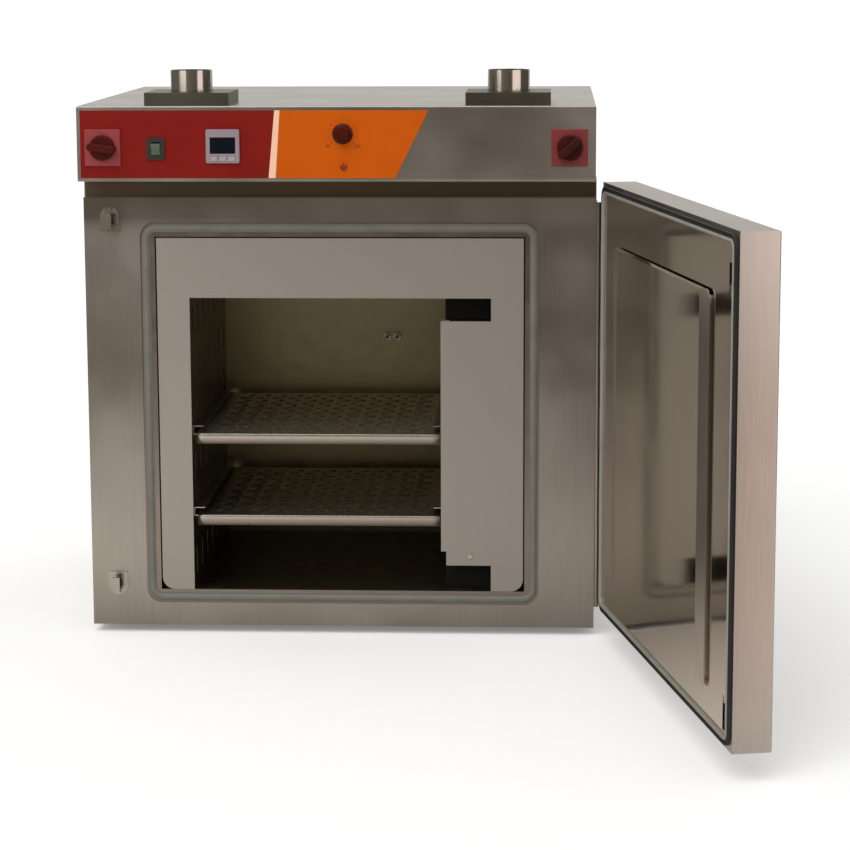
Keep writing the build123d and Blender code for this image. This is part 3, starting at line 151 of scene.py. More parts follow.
def card(name, x, y, z, shades, along, strength=1.0):
    """A glowing card that only reflections see, shaded along one axis and a little
    darker towards the right."""
    sheet = flat_sheet(name, x, y, z)
    finish = bpy.data.materials.new(name)
    finish.use_nodes = True
    tree = finish.node_tree
    shader = tree.nodes["Principled BSDF"]
    shader.inputs["Base Color"].default_value = linear("000000")
    shader.inputs["Specular IOR Level"].default_value = 0.0
    shader.inputs["Emission Strength"].default_value = strength
    apart = add(tree, "ShaderNodeSeparateXYZ", {0: add(tree, "ShaderNodeTexCoord").outputs["Object"]})
    low, high = {"Y": y, "Z": z}[along]
    share = add(tree, "ShaderNodeMapRange", {"Value": apart.outputs[along], "From Min": low,
                                             "From Max": high})
    ramp = add(tree, "ShaderNodeValToRGB", {0: share.outputs[0]}, stops=shades)
    share = add(tree, "ShaderNodeMapRange", {"Value": apart.outputs["X"], "From Min": SHADE_X[0],
                                             "From Max": SHADE_X[1]})
    shade = add(tree, "ShaderNodeValToRGB", {0: share.outputs[0]}, stops=SHADED_RIGHT)
    glow = add(tree, "ShaderNodeMix", {0: 1.0, 6: ramp.outputs[0], 7: shade.outputs[0]}, data_type="RGBA",
               blend_type="MULTIPLY")
    tree.links.new(glow.outputs[2], shader.inputs["Emission Color"])
    sheet.data.materials.append(finish)
    for way_of_seeing in ("visible_camera", "visible_diffuse", "visible_shadow", "visible_transmission"):
        setattr(sheet, way_of_seeing, False)


sky = bpy.data.worlds.new("studio_sky")
bpy.context.scene.world = sky
sky.use_nodes = True
ray = add(sky.node_tree, "ShaderNodeLightPath")
seen = add(sky.node_tree, "ShaderNodeMath", {0: ray.outputs["Is Camera Ray"],
                                             1: ray.outputs["Is Glossy Ray"]}, operation="MAXIMUM")
seen = add(sky.node_tree, "ShaderNodeMath", {0: seen.outputs[0], 1: ray.outputs["Is Transmission Ray"]},
           operation="MAXIMUM")
strength = add(sky.node_tree, "ShaderNodeMapRange", {"Value": seen.outputs[0], "To Min": SKY_LIGHT,
                                                    "To Max": 1.0})
background = sky.node_tree.nodes["Background"]
background.inputs["Color"].default_value = linear("ffffff")
sky.node_tree.links.new(strength.outputs["Result"], background.inputs["Strength"])

sun = bpy.data.lights.new("sun", "SUN")
sun.energy = SUN_POWER
sun.angle = SUN_SPREAD
sun_object = place("sun", sun)
sun_object.matrix_world = SUN_AIM.to_track_quat("-Z", "Y").to_matrix().to_4x4()

floor = flat_sheet("floor", (-FLOOR_HALF, FLOOR_HALF), (-FLOOR_HALF, FLOOR_HALF))
paper = bpy.data.materials.new("pale_studio_paper")
paper.use_nodes = True
shader = paper.node_tree.nodes["Principled BSDF"]
shader.inputs["Base Color"].default_value = linear(FLOOR_COLOUR)
shader.inputs["Roughness"].default_value = 0.9
shader.inputs["Specular IOR Level"].default_value = 0.0
shader.inputs["Emission Color"].default_value = linear("ffffff")
ray = add(paper.node_tree, "ShaderNodeLightPath")
seen = add(paper.node_tree, "ShaderNodeMath", {0: ray.outputs["Is Camera Ray"], 1: FLOOR_GLOW},
           operation="MULTIPLY")
paper.node_tree.links.new(seen.outputs[0], shader.inputs["Emission Strength"])
floor.data.materials.append(paper)

front = (CARD_FRONT, CARD_FRONT)
upright = (0.0, CARD_TOP)
on_table = (TABLE_HEIGHT, TABLE_HEIGHT)
card("room_card", ROOM_X, front, upright, ROOM_SHADES, "Z")
card("warm_card", WARM_X, front, upright, WARM_SHADES, "Z", WARM_GLOW)
card("window_card", WINDOW_X, (WINDOW_Y, WINDOW_Y), WINDOW_Z, WINDOW_SHADES, "Z", WINDOW_GLOW)
card("left_card", (-SIDE_X, -SIDE_X), SIDE_Y, upright, SIDE_SHADES, "Z")
card("right_card", (SIDE_X, SIDE_X), SIDE_Y, upright, SIDE_SHADES, "Z")
card("table_card", ROOM_X, TABLE_Y, on_table, TABLE_SHADES, "Y", TABLE_GLOW)
card("left_table_card", LEFT_TABLE_X, (TABLE_Y[1], SIDE_Y[1]), on_table, LEFT_TABLE_SHADES, "Y")


# Cabinet sheets. The base pan, side panels, front frame, rear panel, header casing and its
# floor are stainless steel, about 1.5 mm thick, folded and brushed along their length.
# Brushing spreads a reflection across its lines and leaves it sharp along them.
BRUSH_LINE = 0.0009
BRUSH_LENGTH = 0.070
SMUDGE = 0.16
BRUSH_HEIGHT = 0.00002
NOISE_SPAN = (0.3, 0.7)
GRAZING_TINT = "dddbd6"
CABINET_STEEL = ("a39e97", "b3aea7")
CABINET_HALF = 0.37
# Heights and soft edge width of the painted light and shade on the frame and of the painted highlight on
# the header's fold.
UPPER_Z = (0.596, 0.616)
BAND_FOOT = 0.645
HEADER_FOOT = 0.6765
PAINTED_LIGHT_EDGE = 0.001


def new_finish(name, roughness, metallic=0.0):
    """Starts a material. Gives it, its node tree, its shader and Object coordinates, which
    are in metres, so that a pattern's Scale is its lumps per metre: 40 for lumps of 25 mm."""
    finish = bpy.data.materials.new(name)
    finish.use_nodes = True
    tree = finish.node_tree
    shader = tree.nodes["Principled BSDF"]
    shader.inputs["Metallic"].default_value = metallic
    shader.inputs["Roughness"].default_value = roughness
    if metallic:
        shader.inputs["Specular Tint"].default_value = linear(GRAZING_TINT)
    where = add(tree, "ShaderNodeTexCoord").outputs["Object"]
    return finish, tree, shader, where


def two_tone(tree, shader, pattern, dark, light):
    """Colours a surface between two hex colours by a pattern."""
    mixed = add(tree, "ShaderNodeMix", {0: pattern, 6: linear(dark), 7: linear(light)}, data_type="RGBA")
    tree.links.new(mixed.outputs[2], shader.inputs["Base Color"])


def sheen_between(tree, shader, pattern, smooth, rough):
    """Varies a surface's roughness over the span that a noise pattern mostly keeps to."""
    sheen = add(tree, "ShaderNodeMapRange", {"Value": pattern, "From Min": NOISE_SPAN[0],
                                             "From Max": NOISE_SPAN[1], "To Min": smooth, "To Max": rough})
    tree.links.new(sheen.outputs[0], shader.inputs["Roughness"])


def relief(tree, shader, pattern, height, strength=1.0):
    """Raises a surface by a pattern, to a height in metres."""
    bump = add(tree, "ShaderNodeBump", {"Height": pattern, "Distance": height, "Strength": strength})
    tree.links.new(bump.outputs["Normal"], shader.inputs["Normal"])


def brushed_steel(name, dark, light, along, smooth=0.26, rough=0.40):
    """Brushed stainless steel. Its lines are really about 0.1 mm wide, and are drawn
    0.9 mm wide so that they show. Broad faint smudges come from handling."""
    finish, tree, shader, where = new_finish(name, smooth, 1.0)
    scale = [1 / BRUSH_LINE] * 3
    scale["XYZ".index(along)] = 1 / BRUSH_LENGTH
    lines = add(tree, "ShaderNodeMapping", {"Vector": where, "Scale": scale})
    lines = add(tree, "ShaderNodeTexNoise", {"Vector": lines.outputs[0], "Scale": 1.0, "Detail": 3.0})
    smudges = add(tree, "ShaderNodeTexNoise", {"Vector": where, "Scale": 1 / SMUDGE, "Detail": 2.0,
                                               "Roughness": 0.6})
    tone = add(tree, "ShaderNodeMath", {0: lines.outputs[0], 1: smudges.outputs[0]}, operation="ADD")
    tone = add(tree, "ShaderNodeMapRange", {"Value": tone.outputs[0], "From Min": 0.7, "From Max": 1.3})
    two_tone(tree, shader, tone.outputs[0], dark, light)
    sheen_between(tree, shader, smudges.outputs[0], smooth, rough)
    relief(tree, shader, lines.outputs[0], BRUSH_HEIGHT, 0.6)
    return finish


def give(finish, *names):
    """Gives CAD nodes a finish, by name."""
    for name in names:
        for material_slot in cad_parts[name].material_slots:
            material_slot.material = finish


def share_along(finish, axis, low, high):
    """A share that goes from 0 to 1 between two places in metres along an axis."""
    tree = finish.node_tree
    apart = add(tree, "ShaderNodeSeparateXYZ", {0: add(tree, "ShaderNodeTexCoord").outputs["Object"]})
    share = add(tree, "ShaderNodeMapRange", {"Value": apart.outputs[axis], "From Min": low,
                                             "From Max": high})
    return share.outputs[0]


def tint(finish, share, colour):
    """Tints a finish towards a hex colour by a share from 0 to 1."""
    tree = finish.node_tree
    socket = tree.nodes["Principled BSDF"].inputs["Base Color"]
    mixed = add(tree, "ShaderNodeMix", {0: share, 6: socket.links[0].from_socket, 7: linear(colour)},
                data_type="RGBA")
    tree.links.new(mixed.outputs[2], socket)


upright_steel = brushed_steel("stainless_steel_brushed_upright", *CABINET_STEEL, "Z")
across_steel = brushed_steel("stainless_steel_brushed_across", *CABINET_STEEL, "X")
give(upright_steel, "left_side_panel", "right_side_panel", "rear_panel")
give(across_steel, "header_floor", "base_pan")

# Painted light and shade on the frame: its upper part is painted lighter, a painted reflection,
# and darker towards the left, a painted shade; its band close under the header is painted the
# darkest, as the header's painted shadow. The header's lower fold is painted bright, a painted
# highlight.
frame_steel = brushed_steel("stainless_steel_brushed_painted_light", *CABINET_STEEL, "Z")
upper_part = share_along(frame_steel, "Z", *UPPER_Z)
leftward = share_along(frame_steel, "X", CABINET_HALF, -CABINET_HALF)
upper_left_painted_shade = add(frame_steel.node_tree, "ShaderNodeMath", {0: upper_part, 1: leftward},
                 operation="MULTIPLY")
tint(frame_steel, upper_part, "c2bcb4")
tint(frame_steel, upper_left_painted_shade.outputs[0], "827c74")
tint(frame_steel, share_along(frame_steel, "Z", BAND_FOOT, BAND_FOOT + PAINTED_LIGHT_EDGE), "766a58")
give(frame_steel, "front_frame")
header_steel = brushed_steel("stainless_steel_brushed_folded", *CABINET_STEEL, "X")
tint(header_steel, share_along(header_steel, "Z", HEADER_FOOT, HEADER_FOOT - PAINTED_LIGHT_EDGE), "cac2b9")
give(header_steel, "header_casing")


# Screws. Hexagon-headed stainless screws, cold-headed and bright, at the back, under the
# header, in the latch keeps and in the filter cover.
def plain_steel(name, dark, light, grain, smooth, rough, height=0.00002):
    """Steel whose finish has no direction: bright, satin or blasted. grain is the size
    of its mottling in metres."""
    finish, tree, shader, where = new_finish(name, smooth, 1.0)
    mottle = add(tree, "ShaderNodeTexNoise", {"Vector": where, "Scale": 1 / grain, "Detail": 3.0})
    two_tone(tree, shader, mottle.outputs[0], dark, light)
    sheen_between(tree, shader, mottle.outputs[0], smooth, rough)
    relief(tree, shader, mottle.outputs[0], height, 0.5)
    return finish


screw_steel = plain_steel("stainless_steel_cold_headed", "a8a29a", "d0cbc4", 0.0016, 0.18, 0.30)
give(screw_steel, "panel_screws")


# Feet. Four round feet moulded in black rubber, wider at the top, each with a rounded
# foot edge and a recess below for its bolt's head.
FOOT_PROFILE = ((3.3, 12.0), (18.2, 12.0), (18.9, 11.6), (18.9, 10.2), (18.2, 9.6), (16.6, 2.0),
                (16.0, 0.8), (14.8, 0.1), (9.0, 0.1), (8.2, 0.6), (7.6, 5.2), (3.3, 5.2))
FOOT_RADIUS = 0.019
FOOT_STEPS = 40
WELD_WITHIN = 1e-6


def finished(bm, name, finish, crease=35.0):
    """Turns a bmesh into an object that is smooth except at its creases."""
    bmesh.ops.remove_doubles(bm, verts=bm.verts, dist=WELD_WITHIN)
    bmesh.ops.recalc_face_normals(bm, faces=bm.faces)
    mesh = bpy.data.meshes.new(name)
    bm.to_mesh(mesh)
    bm.free()
    mesh.polygons.foreach_set("use_smooth", [True] * len(mesh.polygons))
    mesh.set_sharp_from_angle(angle=math.radians(crease))
    mesh.materials.append(finish)
    return place(name, mesh)


def moulded(name, dark, light, roughness, grain=0.0008, height=0.00003, shine=0.5):
    """Moulded rubber or plastic, with the fine texture of its mould and faint cloudiness.
    grain is the texture's size in metres, and shine the level of its highlights."""
    finish, tree, shader, where = new_finish(name, roughness)
    shader.inputs["Specular IOR Level"].default_value = shine
    texture = add(tree, "ShaderNodeTexNoise", {"Vector": where, "Scale": 1 / grain, "Detail": 2.0})
    cloud = add(tree, "ShaderNodeTexNoise", {"Vector": where, "Scale": 40.0, "Detail": 3.0})
    two_tone(tree, shader, cloud.outputs[0], dark, light)
    relief(tree, shader, texture.outputs[0], height, 0.6)
    return finish


def moved(bm, parts, by):
    """Moves the corners among some parts of a bmesh."""
    bmesh.ops.translate(bm, verts=[part for part in parts if isinstance(part, bmesh.types.BMVert)], vec=by)


def outline(bm, points):
    """A closed line of edges through points, as what an extrusion or a spin starts from."""
    corners = [bm.verts.new(point) for point in points]
    return corners, [bm.edges.new(pair) for pair in zip(corners, corners[1:] + corners[:1])]


black_rubber = moulded("rubber_moulded_black", "131313", "232221", 0.72)
low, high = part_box("feet")
bm = bmesh.new()
corners, edges = outline(bm, [(radius / 1000, 0, height / 1000) for radius, height in FOOT_PROFILE])
bmesh.ops.spin(bm, geom=corners + edges, cent=(0, 0, 0), axis=(0, 0, 1), angle=math.tau, steps=FOOT_STEPS,
               use_merge=True)
first_foot = bm.verts[:] + bm.edges[:] + bm.faces[:]
centres = [(x, y, 0) for x in (low.x + FOOT_RADIUS, high.x - FOOT_RADIUS)
           for y in (low.y + FOOT_RADIUS, high.y - FOOT_RADIUS)]
for centre in centres[1:]:
    moved(bm, bmesh.ops.duplicate(bm, geom=first_foot)["geom"], centre)
moved(bm, first_foot, centres[0])
feet = finished(bm, "rubber_feet", black_rubber)
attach(feet, "cabinet")
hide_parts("feet")


# Insulation round the chamber. Mineral wool batts, cut to size and butted together round
# the tank, with a gap left in the top ones for the fan's shaft. Sizes are in millimetres.
# The noise that makes their faces uneven would be seeded by the clock, so its seed is set.
WOOL_OUT = {"x": 365.0, "y": (-272.0, 215.0), "z": (22.0, 667.0)}
TANK_OUT = {"x": 270.0, "y": 135.0, "z": (63.5, 590.0)}
SHAFT_GAP = {"x": (-98.0, -82.0), "y": (-8.0, 8.0)}
WOOL_GRID = 26.0
WOOL_LUMP = 0.0013
LUMPS_PER_M = 14
WOOL_SOFTEN = 0.35
WOOL_SEED = 1
SAME_PLACE = 1e-5


def batt(whole, x, y, z):
    """Adds a wool batt between two corners in millimetres: a block whose faces are a
    little uneven and whose edges are soft."""
    low = Vector((x[0], y[0], z[0])) / 1000
    high = Vector((x[1], y[1], z[1])) / 1000
    bm = bmesh.new()
    bmesh.ops.create_cube(bm, size=1.0)
    bmesh.ops.scale(bm, verts=bm.verts, vec=high - low)
    bmesh.ops.translate(bm, verts=bm.verts, vec=(low + high) / 2)
    for axis in range(3):
        rungs = [edge for edge in bm.edges
                 if abs((edge.verts[0].co - edge.verts[1].co)[axis]) > SAME_PLACE]
        cuts = max(1, round((high - low)[axis] * 1000 / WOOL_GRID) - 1)
        bmesh.ops.subdivide_edges(bm, edges=rungs, cuts=cuts, use_grid_fill=True)
    for corner in bm.verts:
        shift = noise.noise_vector(corner.co * LUMPS_PER_M) * WOOL_LUMP / 2
        for axis in range(3):
            inside = min(max(corner.co[axis], low[axis] + WOOL_LUMP), high[axis] - WOOL_LUMP)
            corner.co[axis] = inside + shift[axis]
    bmesh.ops.smooth_vert(bm, verts=bm.verts, factor=WOOL_SOFTEN, use_axis_x=True,
                          use_axis_y=True, use_axis_z=True)
    mesh = bpy.data.meshes.new("batt")
    bm.to_mesh(mesh)
    bm.free()
    whole.from_mesh(mesh)
    bpy.data.meshes.remove(mesh)


def mineral_wool():
    """Mineral wool: yellow-brown fibres a few hundredths of a millimetre thick, laid
    flat. They are drawn 0.8 mm thick so that they show."""
    finish, tree, shader, where = new_finish("mineral_wool_pressed", 0.95)
    fibres = add(tree, "ShaderNodeMapping", {"Vector": where, "Scale": (220.0, 220.0, 1250.0)})
    fibres = add(tree, "ShaderNodeTexNoise", {"Vector": fibres.outputs[0], "Scale": 1.0, "Detail": 5.0,
                                              "Roughness": 0.7, "Distortion": 1.2})
    two_tone(tree, shader, fibres.outputs[0], "8c7a4e", "d8c794")
    relief(tree, shader, fibres.outputs[0], 0.0009)
    return finish


wool = mineral_wool()
noise.seed_set(WOOL_SEED)
bm = bmesh.new()
x, y, z = WOOL_OUT["x"], WOOL_OUT["y"], WOOL_OUT["z"]
tank_x, tank_y, tank_z = TANK_OUT["x"], TANK_OUT["y"], TANK_OUT["z"]
batt(bm, (-x, x), y, (z[0], tank_z[0]))
batt(bm, (-x, -tank_x), y, tank_z)
batt(bm, (tank_x, x), y, tank_z)
batt(bm, (-tank_x, tank_x), (tank_y, y[1]), tank_z)
batt(bm, (-x, SHAFT_GAP["x"][0]), y, (tank_z[1], z[1]))
batt(bm, (SHAFT_GAP["x"][1], x), y, (tank_z[1], z[1]))
batt(bm, SHAFT_GAP["x"], (y[0], SHAFT_GAP["y"][0]), (tank_z[1], z[1]))
batt(bm, SHAFT_GAP["x"], (SHAFT_GAP["y"][1], y[1]), (tank_z[1], z[1]))
chamber_wool = finished(bm, "chamber_wool_batts", wool, crease=80.0)
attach(chamber_wool, "cabinet")
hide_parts("chamber_insulation")


# Chamber linings. The tank and the linings that steer the air are stainless sheet with
# the mill's dull finish, slightly mottled and welded or tacked in place. The tank is painted
# darker low down, a painted shade deep in the chamber, and the channels round the filter are
# enamelled black, a black that also stands for painted shade in the gaps round the filter cover.
FLANGE_Y = (-0.272, -0.276)
TANK_SHADE_Z = (0.20, 0.10)
mill_steel = plain_steel("stainless_steel_mill_finish", "8b8468", "a09a80", 0.020, 0.28, 0.40)
give(mill_steel, "ceiling_panel")
tank_steel = plain_steel("stainless_steel_mill_finish_tank", "959073", "aba68c", 0.020, 0.28, 0.40)
# Painted shade: the tank is darker low down.
tint(tank_steel, share_along(tank_steel, "Z", *TANK_SHADE_Z), "79735f")
tint(tank_steel, share_along(tank_steel, "Y", *FLANGE_Y), "948e84")
give(tank_steel, "inner_chamber")
return_steel = plain_steel("stainless_steel_heat_stained", "746c5a", "8c8472", 0.014, 0.30, 0.42)
give(return_steel, "air_return_panel")
give(screw_steel, "shelf_runners")
# Painted shade: the black of the filter channels keeps the gaps round the filter cover dark.
black_enamel_shade = moulded("enamel_heatproof_black_painted_shade", "080706", "0e0d0b", 0.6, height=0.00004, shine=0.15)
give(black_enamel_shade, "filter_seats")


# Chamber seal. A grey silicone extrusion, pressed round the tank's mouth and joined into
# a ring: a soft dome between two thin lips. Each point is (in from the edge, out) in mm.
CHAMBER_SEAL_PROFILE = ((0.0, 0.0), (0.0, 0.9), (1.3, 1.0), (1.7, 1.6), (2.6, 2.6), (4.2, 3.3), (6.0, 3.5),
                        (7.8, 3.3), (9.4, 2.6), (10.3, 1.6), (10.7, 1.0), (12.0, 0.9), (12.0, 0.0))
CHAMBER_SEAL_RADIUS = 0.022
CHAMBER_SEAL_SEAT = -0.2835
CORNER_STEPS = 12


def ring_round(bm, profile, low, high, radius, seat, way):
    """Sweeps a closed profile round an upright rectangle with rounded corners. low and
    high are its corners, seat is the Y of its back and way the sign of Y it stands to."""
    start = [(low.x + radius, seat + way * out / 1000, low.z + inward / 1000) for inward, out in profile]
    corners, edges = outline(bm, start)
    across, up = high.x - low.x - 2 * radius, high.z - low.z - 2 * radius
    centres = ((high.x - radius, low.z + radius), (high.x - radius, high.z - radius),
               (low.x + radius, high.z - radius), (low.x + radius, low.z + radius))
    heading = Vector((1, 0, 0))
    for side, (x, z) in enumerate(centres):
        run = bmesh.ops.extrude_edge_only(bm, edges=edges)["geom"]
        moved(bm, run, heading * (up if side % 2 else across))
        ends = [part for part in run if not isinstance(part, bmesh.types.BMFace)]
        turned = bmesh.ops.spin(bm, geom=ends, cent=(x, 0, z), axis=(0, -1, 0), angle=math.pi / 2,
                                steps=CORNER_STEPS)["geom_last"]
        edges = [part for part in turned if isinstance(part, bmesh.types.BMEdge)]
        heading = Matrix.Rotation(math.pi / 2, 3, Vector((0, -1, 0))) @ heading


low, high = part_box("chamber_seal")
bm = bmesh.new()
ring_round(bm, CHAMBER_SEAL_PROFILE, low, high, CHAMBER_SEAL_RADIUS, CHAMBER_SEAL_SEAT, -1)
grey_silicone = moulded("silicone_extruded_grey", "5f5d56", "737067", 0.5, grain=0.0005)
chamber_seal = finished(bm, "chamber_seal_ring", grey_silicone)
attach(chamber_seal, "cabinet")
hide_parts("chamber_seal")


# Front panel of the chamber and the cover in front of the filter. Stainless sheet, glass
# bead blasted: matt and paler than the brushed sheets round it, with a fine even grain.
blasted_steel = plain_steel("stainless_steel_bead_blasted", "ada9a2", "b9b5ae", 0.0011, 0.48, 0.58, 0.00003)
give(blasted_steel, "chamber_front_flange", "filter_front_cover")


# Filter. A boxed HEPA filter: a frame of extruded aluminium round a pack of glass paper,
# pleated every 3 mm and kept apart by threads of hot glue.
FILTER_WALL = 0.012
FILTER_EDGE = 0.0006
PLEAT_PITCH = 0.0030
PLEAT_DEEP = 0.024
PAPER_THICK = 0.0004
PACK_CLEAR = 0.0004
GLUE_ROWS = 6
GLUE_THICK = 0.0016
GLUE_EDGE = 0.00048


def glass_paper():
    """Glass fibre paper, white and matt, with a faint cloud from its forming."""
    finish, tree, shader, where = new_finish("glass_fibre_paper", 0.9)
    cloud = add(tree, "ShaderNodeTexNoise", {"Vector": where, "Scale": 160.0, "Detail": 4.0})
    two_tone(tree, shader, cloud.outputs[0], "dedcd4", "f1f0ea")
    relief(tree, shader, cloud.outputs[0], 0.00008)
    return finish


def extruded_aluminium():
    """Extruded aluminium anodised black: a deep brown-black satin, whose black is also painted
    shade in the gaps round the filter cover, with faint die lines along it, really 0.2 mm
    apart and drawn 1 mm apart."""
    finish, tree, shader, where = new_finish("aluminium_anodised_black_painted_shade", 0.42, 1.0)
    lines = add(tree, "ShaderNodeMapping", {"Vector": where, "Scale": (1000.0, 14.0, 14.0)})
    lines = add(tree, "ShaderNodeTexNoise", {"Vector": lines.outputs[0], "Scale": 1.0, "Detail": 2.0})
    two_tone(tree, shader, lines.outputs[0], "1a1816", "262320")
    relief(tree, shader, lines.outputs[0], 0.00003)
    return finish


low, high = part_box("hepa_filter")
middle = (low + high) / 2
bm = bmesh.new()
bmesh.ops.create_cube(bm, size=1.0)
bmesh.ops.scale(bm, verts=bm.verts, vec=high - low)
bmesh.ops.translate(bm, verts=bm.verts, vec=middle)
sides = [face for face in bm.faces if abs(face.normal.x) > 0.9]
bmesh.ops.inset_region(bm, faces=sides, thickness=FILTER_WALL, use_even_offset=True)
rims = [edge for face in sides for edge in face.edges]
bmesh.ops.delete(bm, geom=sides, context="FACES_ONLY")
bmesh.ops.bridge_loops(bm, edges=rims)
bmesh.ops.bevel(bm, geom=bm.edges[:], offset=FILTER_EDGE, segments=2, profile=0.5, affect="EDGES",
                material=-1)
filter_frame = finished(bm, "filter_frame", extruded_aluminium())
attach(filter_frame, "cabinet")
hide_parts("hepa_filter")

start = low.y + FILTER_WALL + PACK_CLEAR
folds = 2 * int((high.y - FILTER_WALL - PACK_CLEAR - start) / PLEAT_PITCH)
fold = (high.y - FILTER_WALL - PACK_CLEAR - start) / folds
floor_z, top_z = low.z + FILTER_WALL + PACK_CLEAR, high.z - FILTER_WALL - PACK_CLEAR
bm = bmesh.new()
line = [bm.verts.new((middle.x + PLEAT_DEEP * (index % 2 - 0.5), start + fold * index, floor_z))
        for index in range(folds + 1)]
edges = [bm.edges.new(pair) for pair in zip(line, line[1:])]
moved(bm, bmesh.ops.extrude_edge_only(bm, edges=edges)["geom"], (0, 0, top_z - floor_z))
paper_white = glass_paper()
filter_pack = finished(bm, "filter_pleats", paper_white, crease=20.0)
thickness = filter_pack.modifiers.new("paper_thickness", "SOLIDIFY")
thickness.thickness = PAPER_THICK
thickness.offset = 0.0
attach(filter_pack, "cabinet")
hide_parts("hepa_filter")

bm = bmesh.new()
for row in range(GLUE_ROWS):
    z = floor_z + (top_z - floor_z) * (row + 0.5) / GLUE_ROWS
    for side in (-1, 1):
        made = bmesh.ops.create_cube(bm, size=1.0)["verts"]
        bmesh.ops.scale(bm, verts=made, vec=(GLUE_THICK, fold * folds, GLUE_THICK))
        centre = (middle.x + side * PLEAT_DEEP / 2, start + fold * folds / 2, z)
        bmesh.ops.translate(bm, verts=made, vec=centre)
bmesh.ops.bevel(bm, geom=bm.edges[:], offset=GLUE_EDGE, segments=2, profile=0.5, affect="EDGES",
                material=-1)
glue = finished(bm, "filter_glue_threads", moulded("hot_glue", "d9d2bd", "e6e0cd", 0.35))
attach(glue, "cabinet")


# Shelves. Stainless sheet punched with round holes all over, folded down at the front and
# at the back. The holes are 8 mm across in staggered rows. Sizes are in millimetres.
SHELF_T = 1.2
SHELF_HOLE_R = 4.0
HOLE_SIDES = 16
SHELF_PITCH = 26.0
SHELF_MARGIN = (22.0, 18.0)
SHELF_FOLD_R = 2.0
SHELF_FOLD_STEPS = 5
SHELF_LIP = 15.0
REAR_LIP_X = (-201.0, 132.0)
SHELF_FRONT_Y = (-0.2775, -0.278)
SHELF_PAINTED_LIGHT_Z = (0.20, 0.28)


def perforated_cell(bm, x, y, pitch_x, pitch_y, shift):
    """One rectangle of the sheet with its round hole, a quarter pitch to a side."""
    hole = bmesh.ops.create_circle(bm, segments=HOLE_SIDES, radius=SHELF_HOLE_R / 1000)["verts"]
    bmesh.ops.translate(bm, verts=hole, vec=(shift * pitch_x / 4, 0, 0))
    turns = [math.tau * index / HOLE_SIDES for index in range(HOLE_SIDES)]
    reach = [max(abs(math.cos(turn)), abs(math.sin(turn))) for turn in turns]
    square, rim = outline(bm, [(pitch_x / 2 * math.cos(turn) / far, pitch_y / 2 * math.sin(turn) / far, 0)
                               for turn, far in zip(turns, reach)])
    inner = list({edge for corner in hole for edge in corner.link_edges})
    bmesh.ops.bridge_loops(bm, edges=rim + inner)
    bmesh.ops.translate(bm, verts=hole + square, vec=(x, y, 0))


def edges_at(bm, axis, value, span=None):
    """The open edges that lie where X or Y has a value, within a span of X if given."""
    found = []
    for edge in bm.edges:
        ends = [corner.co for corner in edge.verts]
        there = all(abs(end[axis] - value) < SAME_PLACE for end in ends)
        within = span is None or all(span[0] - SAME_PLACE <= end.x <= span[1] + SAME_PLACE for end in ends)
        if there and within and len(edge.link_faces) < 2:
            found.append(edge)
    return found


def widen(bm, axis, value, to):
    """Draws the sheet out from an open side to a new place."""
    shift = Vector((0, 0, 0))
    shift[axis] = to - value
    moved(bm, bmesh.ops.extrude_edge_only(bm, edges=edges_at(bm, axis, value))["geom"], shift)


def fold_down(bm, y, way, span=None):
    """Folds the sheet down at its front or back through a bend, then a straight lip."""
    for x in span or ():
        bmesh.ops.bisect_plane(bm, geom=bm.verts[:] + bm.edges[:] + bm.faces[:], plane_co=(x, 0, 0),
                               plane_no=(1, 0, 0))
    radius = SHELF_FOLD_R / 1000
    edges = edges_at(bm, 1, y, span)
    ends = list({corner for edge in edges for corner in edge.verts})
    bent = bmesh.ops.spin(bm, geom=edges + ends, cent=(0, y, -radius), axis=(1, 0, 0),
                          angle=-way * math.pi / 2, steps=SHELF_FOLD_STEPS)["geom_last"]
    edges = [part for part in bent if isinstance(part, bmesh.types.BMEdge)]
    moved(bm, bmesh.ops.extrude_edge_only(bm, edges=edges)["geom"], (0, 0, radius - SHELF_LIP / 1000))


def perforated_shelf(name, node):
    """One shelf, fitted to its node's box: a sheet of cells, drawn out to its sides and
    folded down, with the punched edges painted dark, as painted shade in the holes."""
    low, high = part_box(node)
    bend = SHELF_FOLD_R / 1000
    x0, x1 = low.x + SHELF_MARGIN[0] / 1000, high.x - SHELF_MARGIN[0] / 1000
    y0, y1 = low.y + SHELF_MARGIN[1] / 1000, high.y - SHELF_MARGIN[1] / 1000
    columns = round((x1 - x0) * 1000 / SHELF_PITCH)
    rows = 2 * round((y1 - y0) * 500 / SHELF_PITCH)
    pitch_x, pitch_y = (x1 - x0) / columns, (y1 - y0) / rows
    bm = bmesh.new()
    perforated_cell(bm, x0 + pitch_x / 2, y0 + pitch_y / 2, pitch_x, pitch_y, -1)
    perforated_cell(bm, x0 + pitch_x / 2, y0 + pitch_y * 3 / 2, pitch_x, pitch_y, 1)
    for count, step in ((columns, (pitch_x, 0, 0)), (rows // 2, (0, pitch_y * 2, 0))):
        first = bm.verts[:] + bm.edges[:] + bm.faces[:]
        for index in range(1, count):
            moved(bm, bmesh.ops.duplicate(bm, geom=first)["geom"], Vector(step) * index)
    bmesh.ops.remove_doubles(bm, verts=bm.verts, dist=WELD_WITHIN)
    for axis, value, to in ((0, x0, low.x), (0, x1, high.x), (1, y0, low.y + bend), (1, y1, high.y - bend)):
        widen(bm, axis, value, to)
    fold_down(bm, low.y + bend, -1)
    fold_down(bm, high.y - bend, 1, [x / 1000 for x in REAR_LIP_X])
    bmesh.ops.translate(bm, verts=bm.verts, vec=(0, 0, high.z))
    shelf = finished(bm, name, shelf_steel)
    thickness = shelf.modifiers.new("sheet_thickness", "SOLIDIFY")
    thickness.thickness = SHELF_T / 1000
    thickness.offset = -1.0
    shelf.data.materials.append(punched_edge)
    thickness.material_offset_rim = 1
    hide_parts(node)
    return shelf


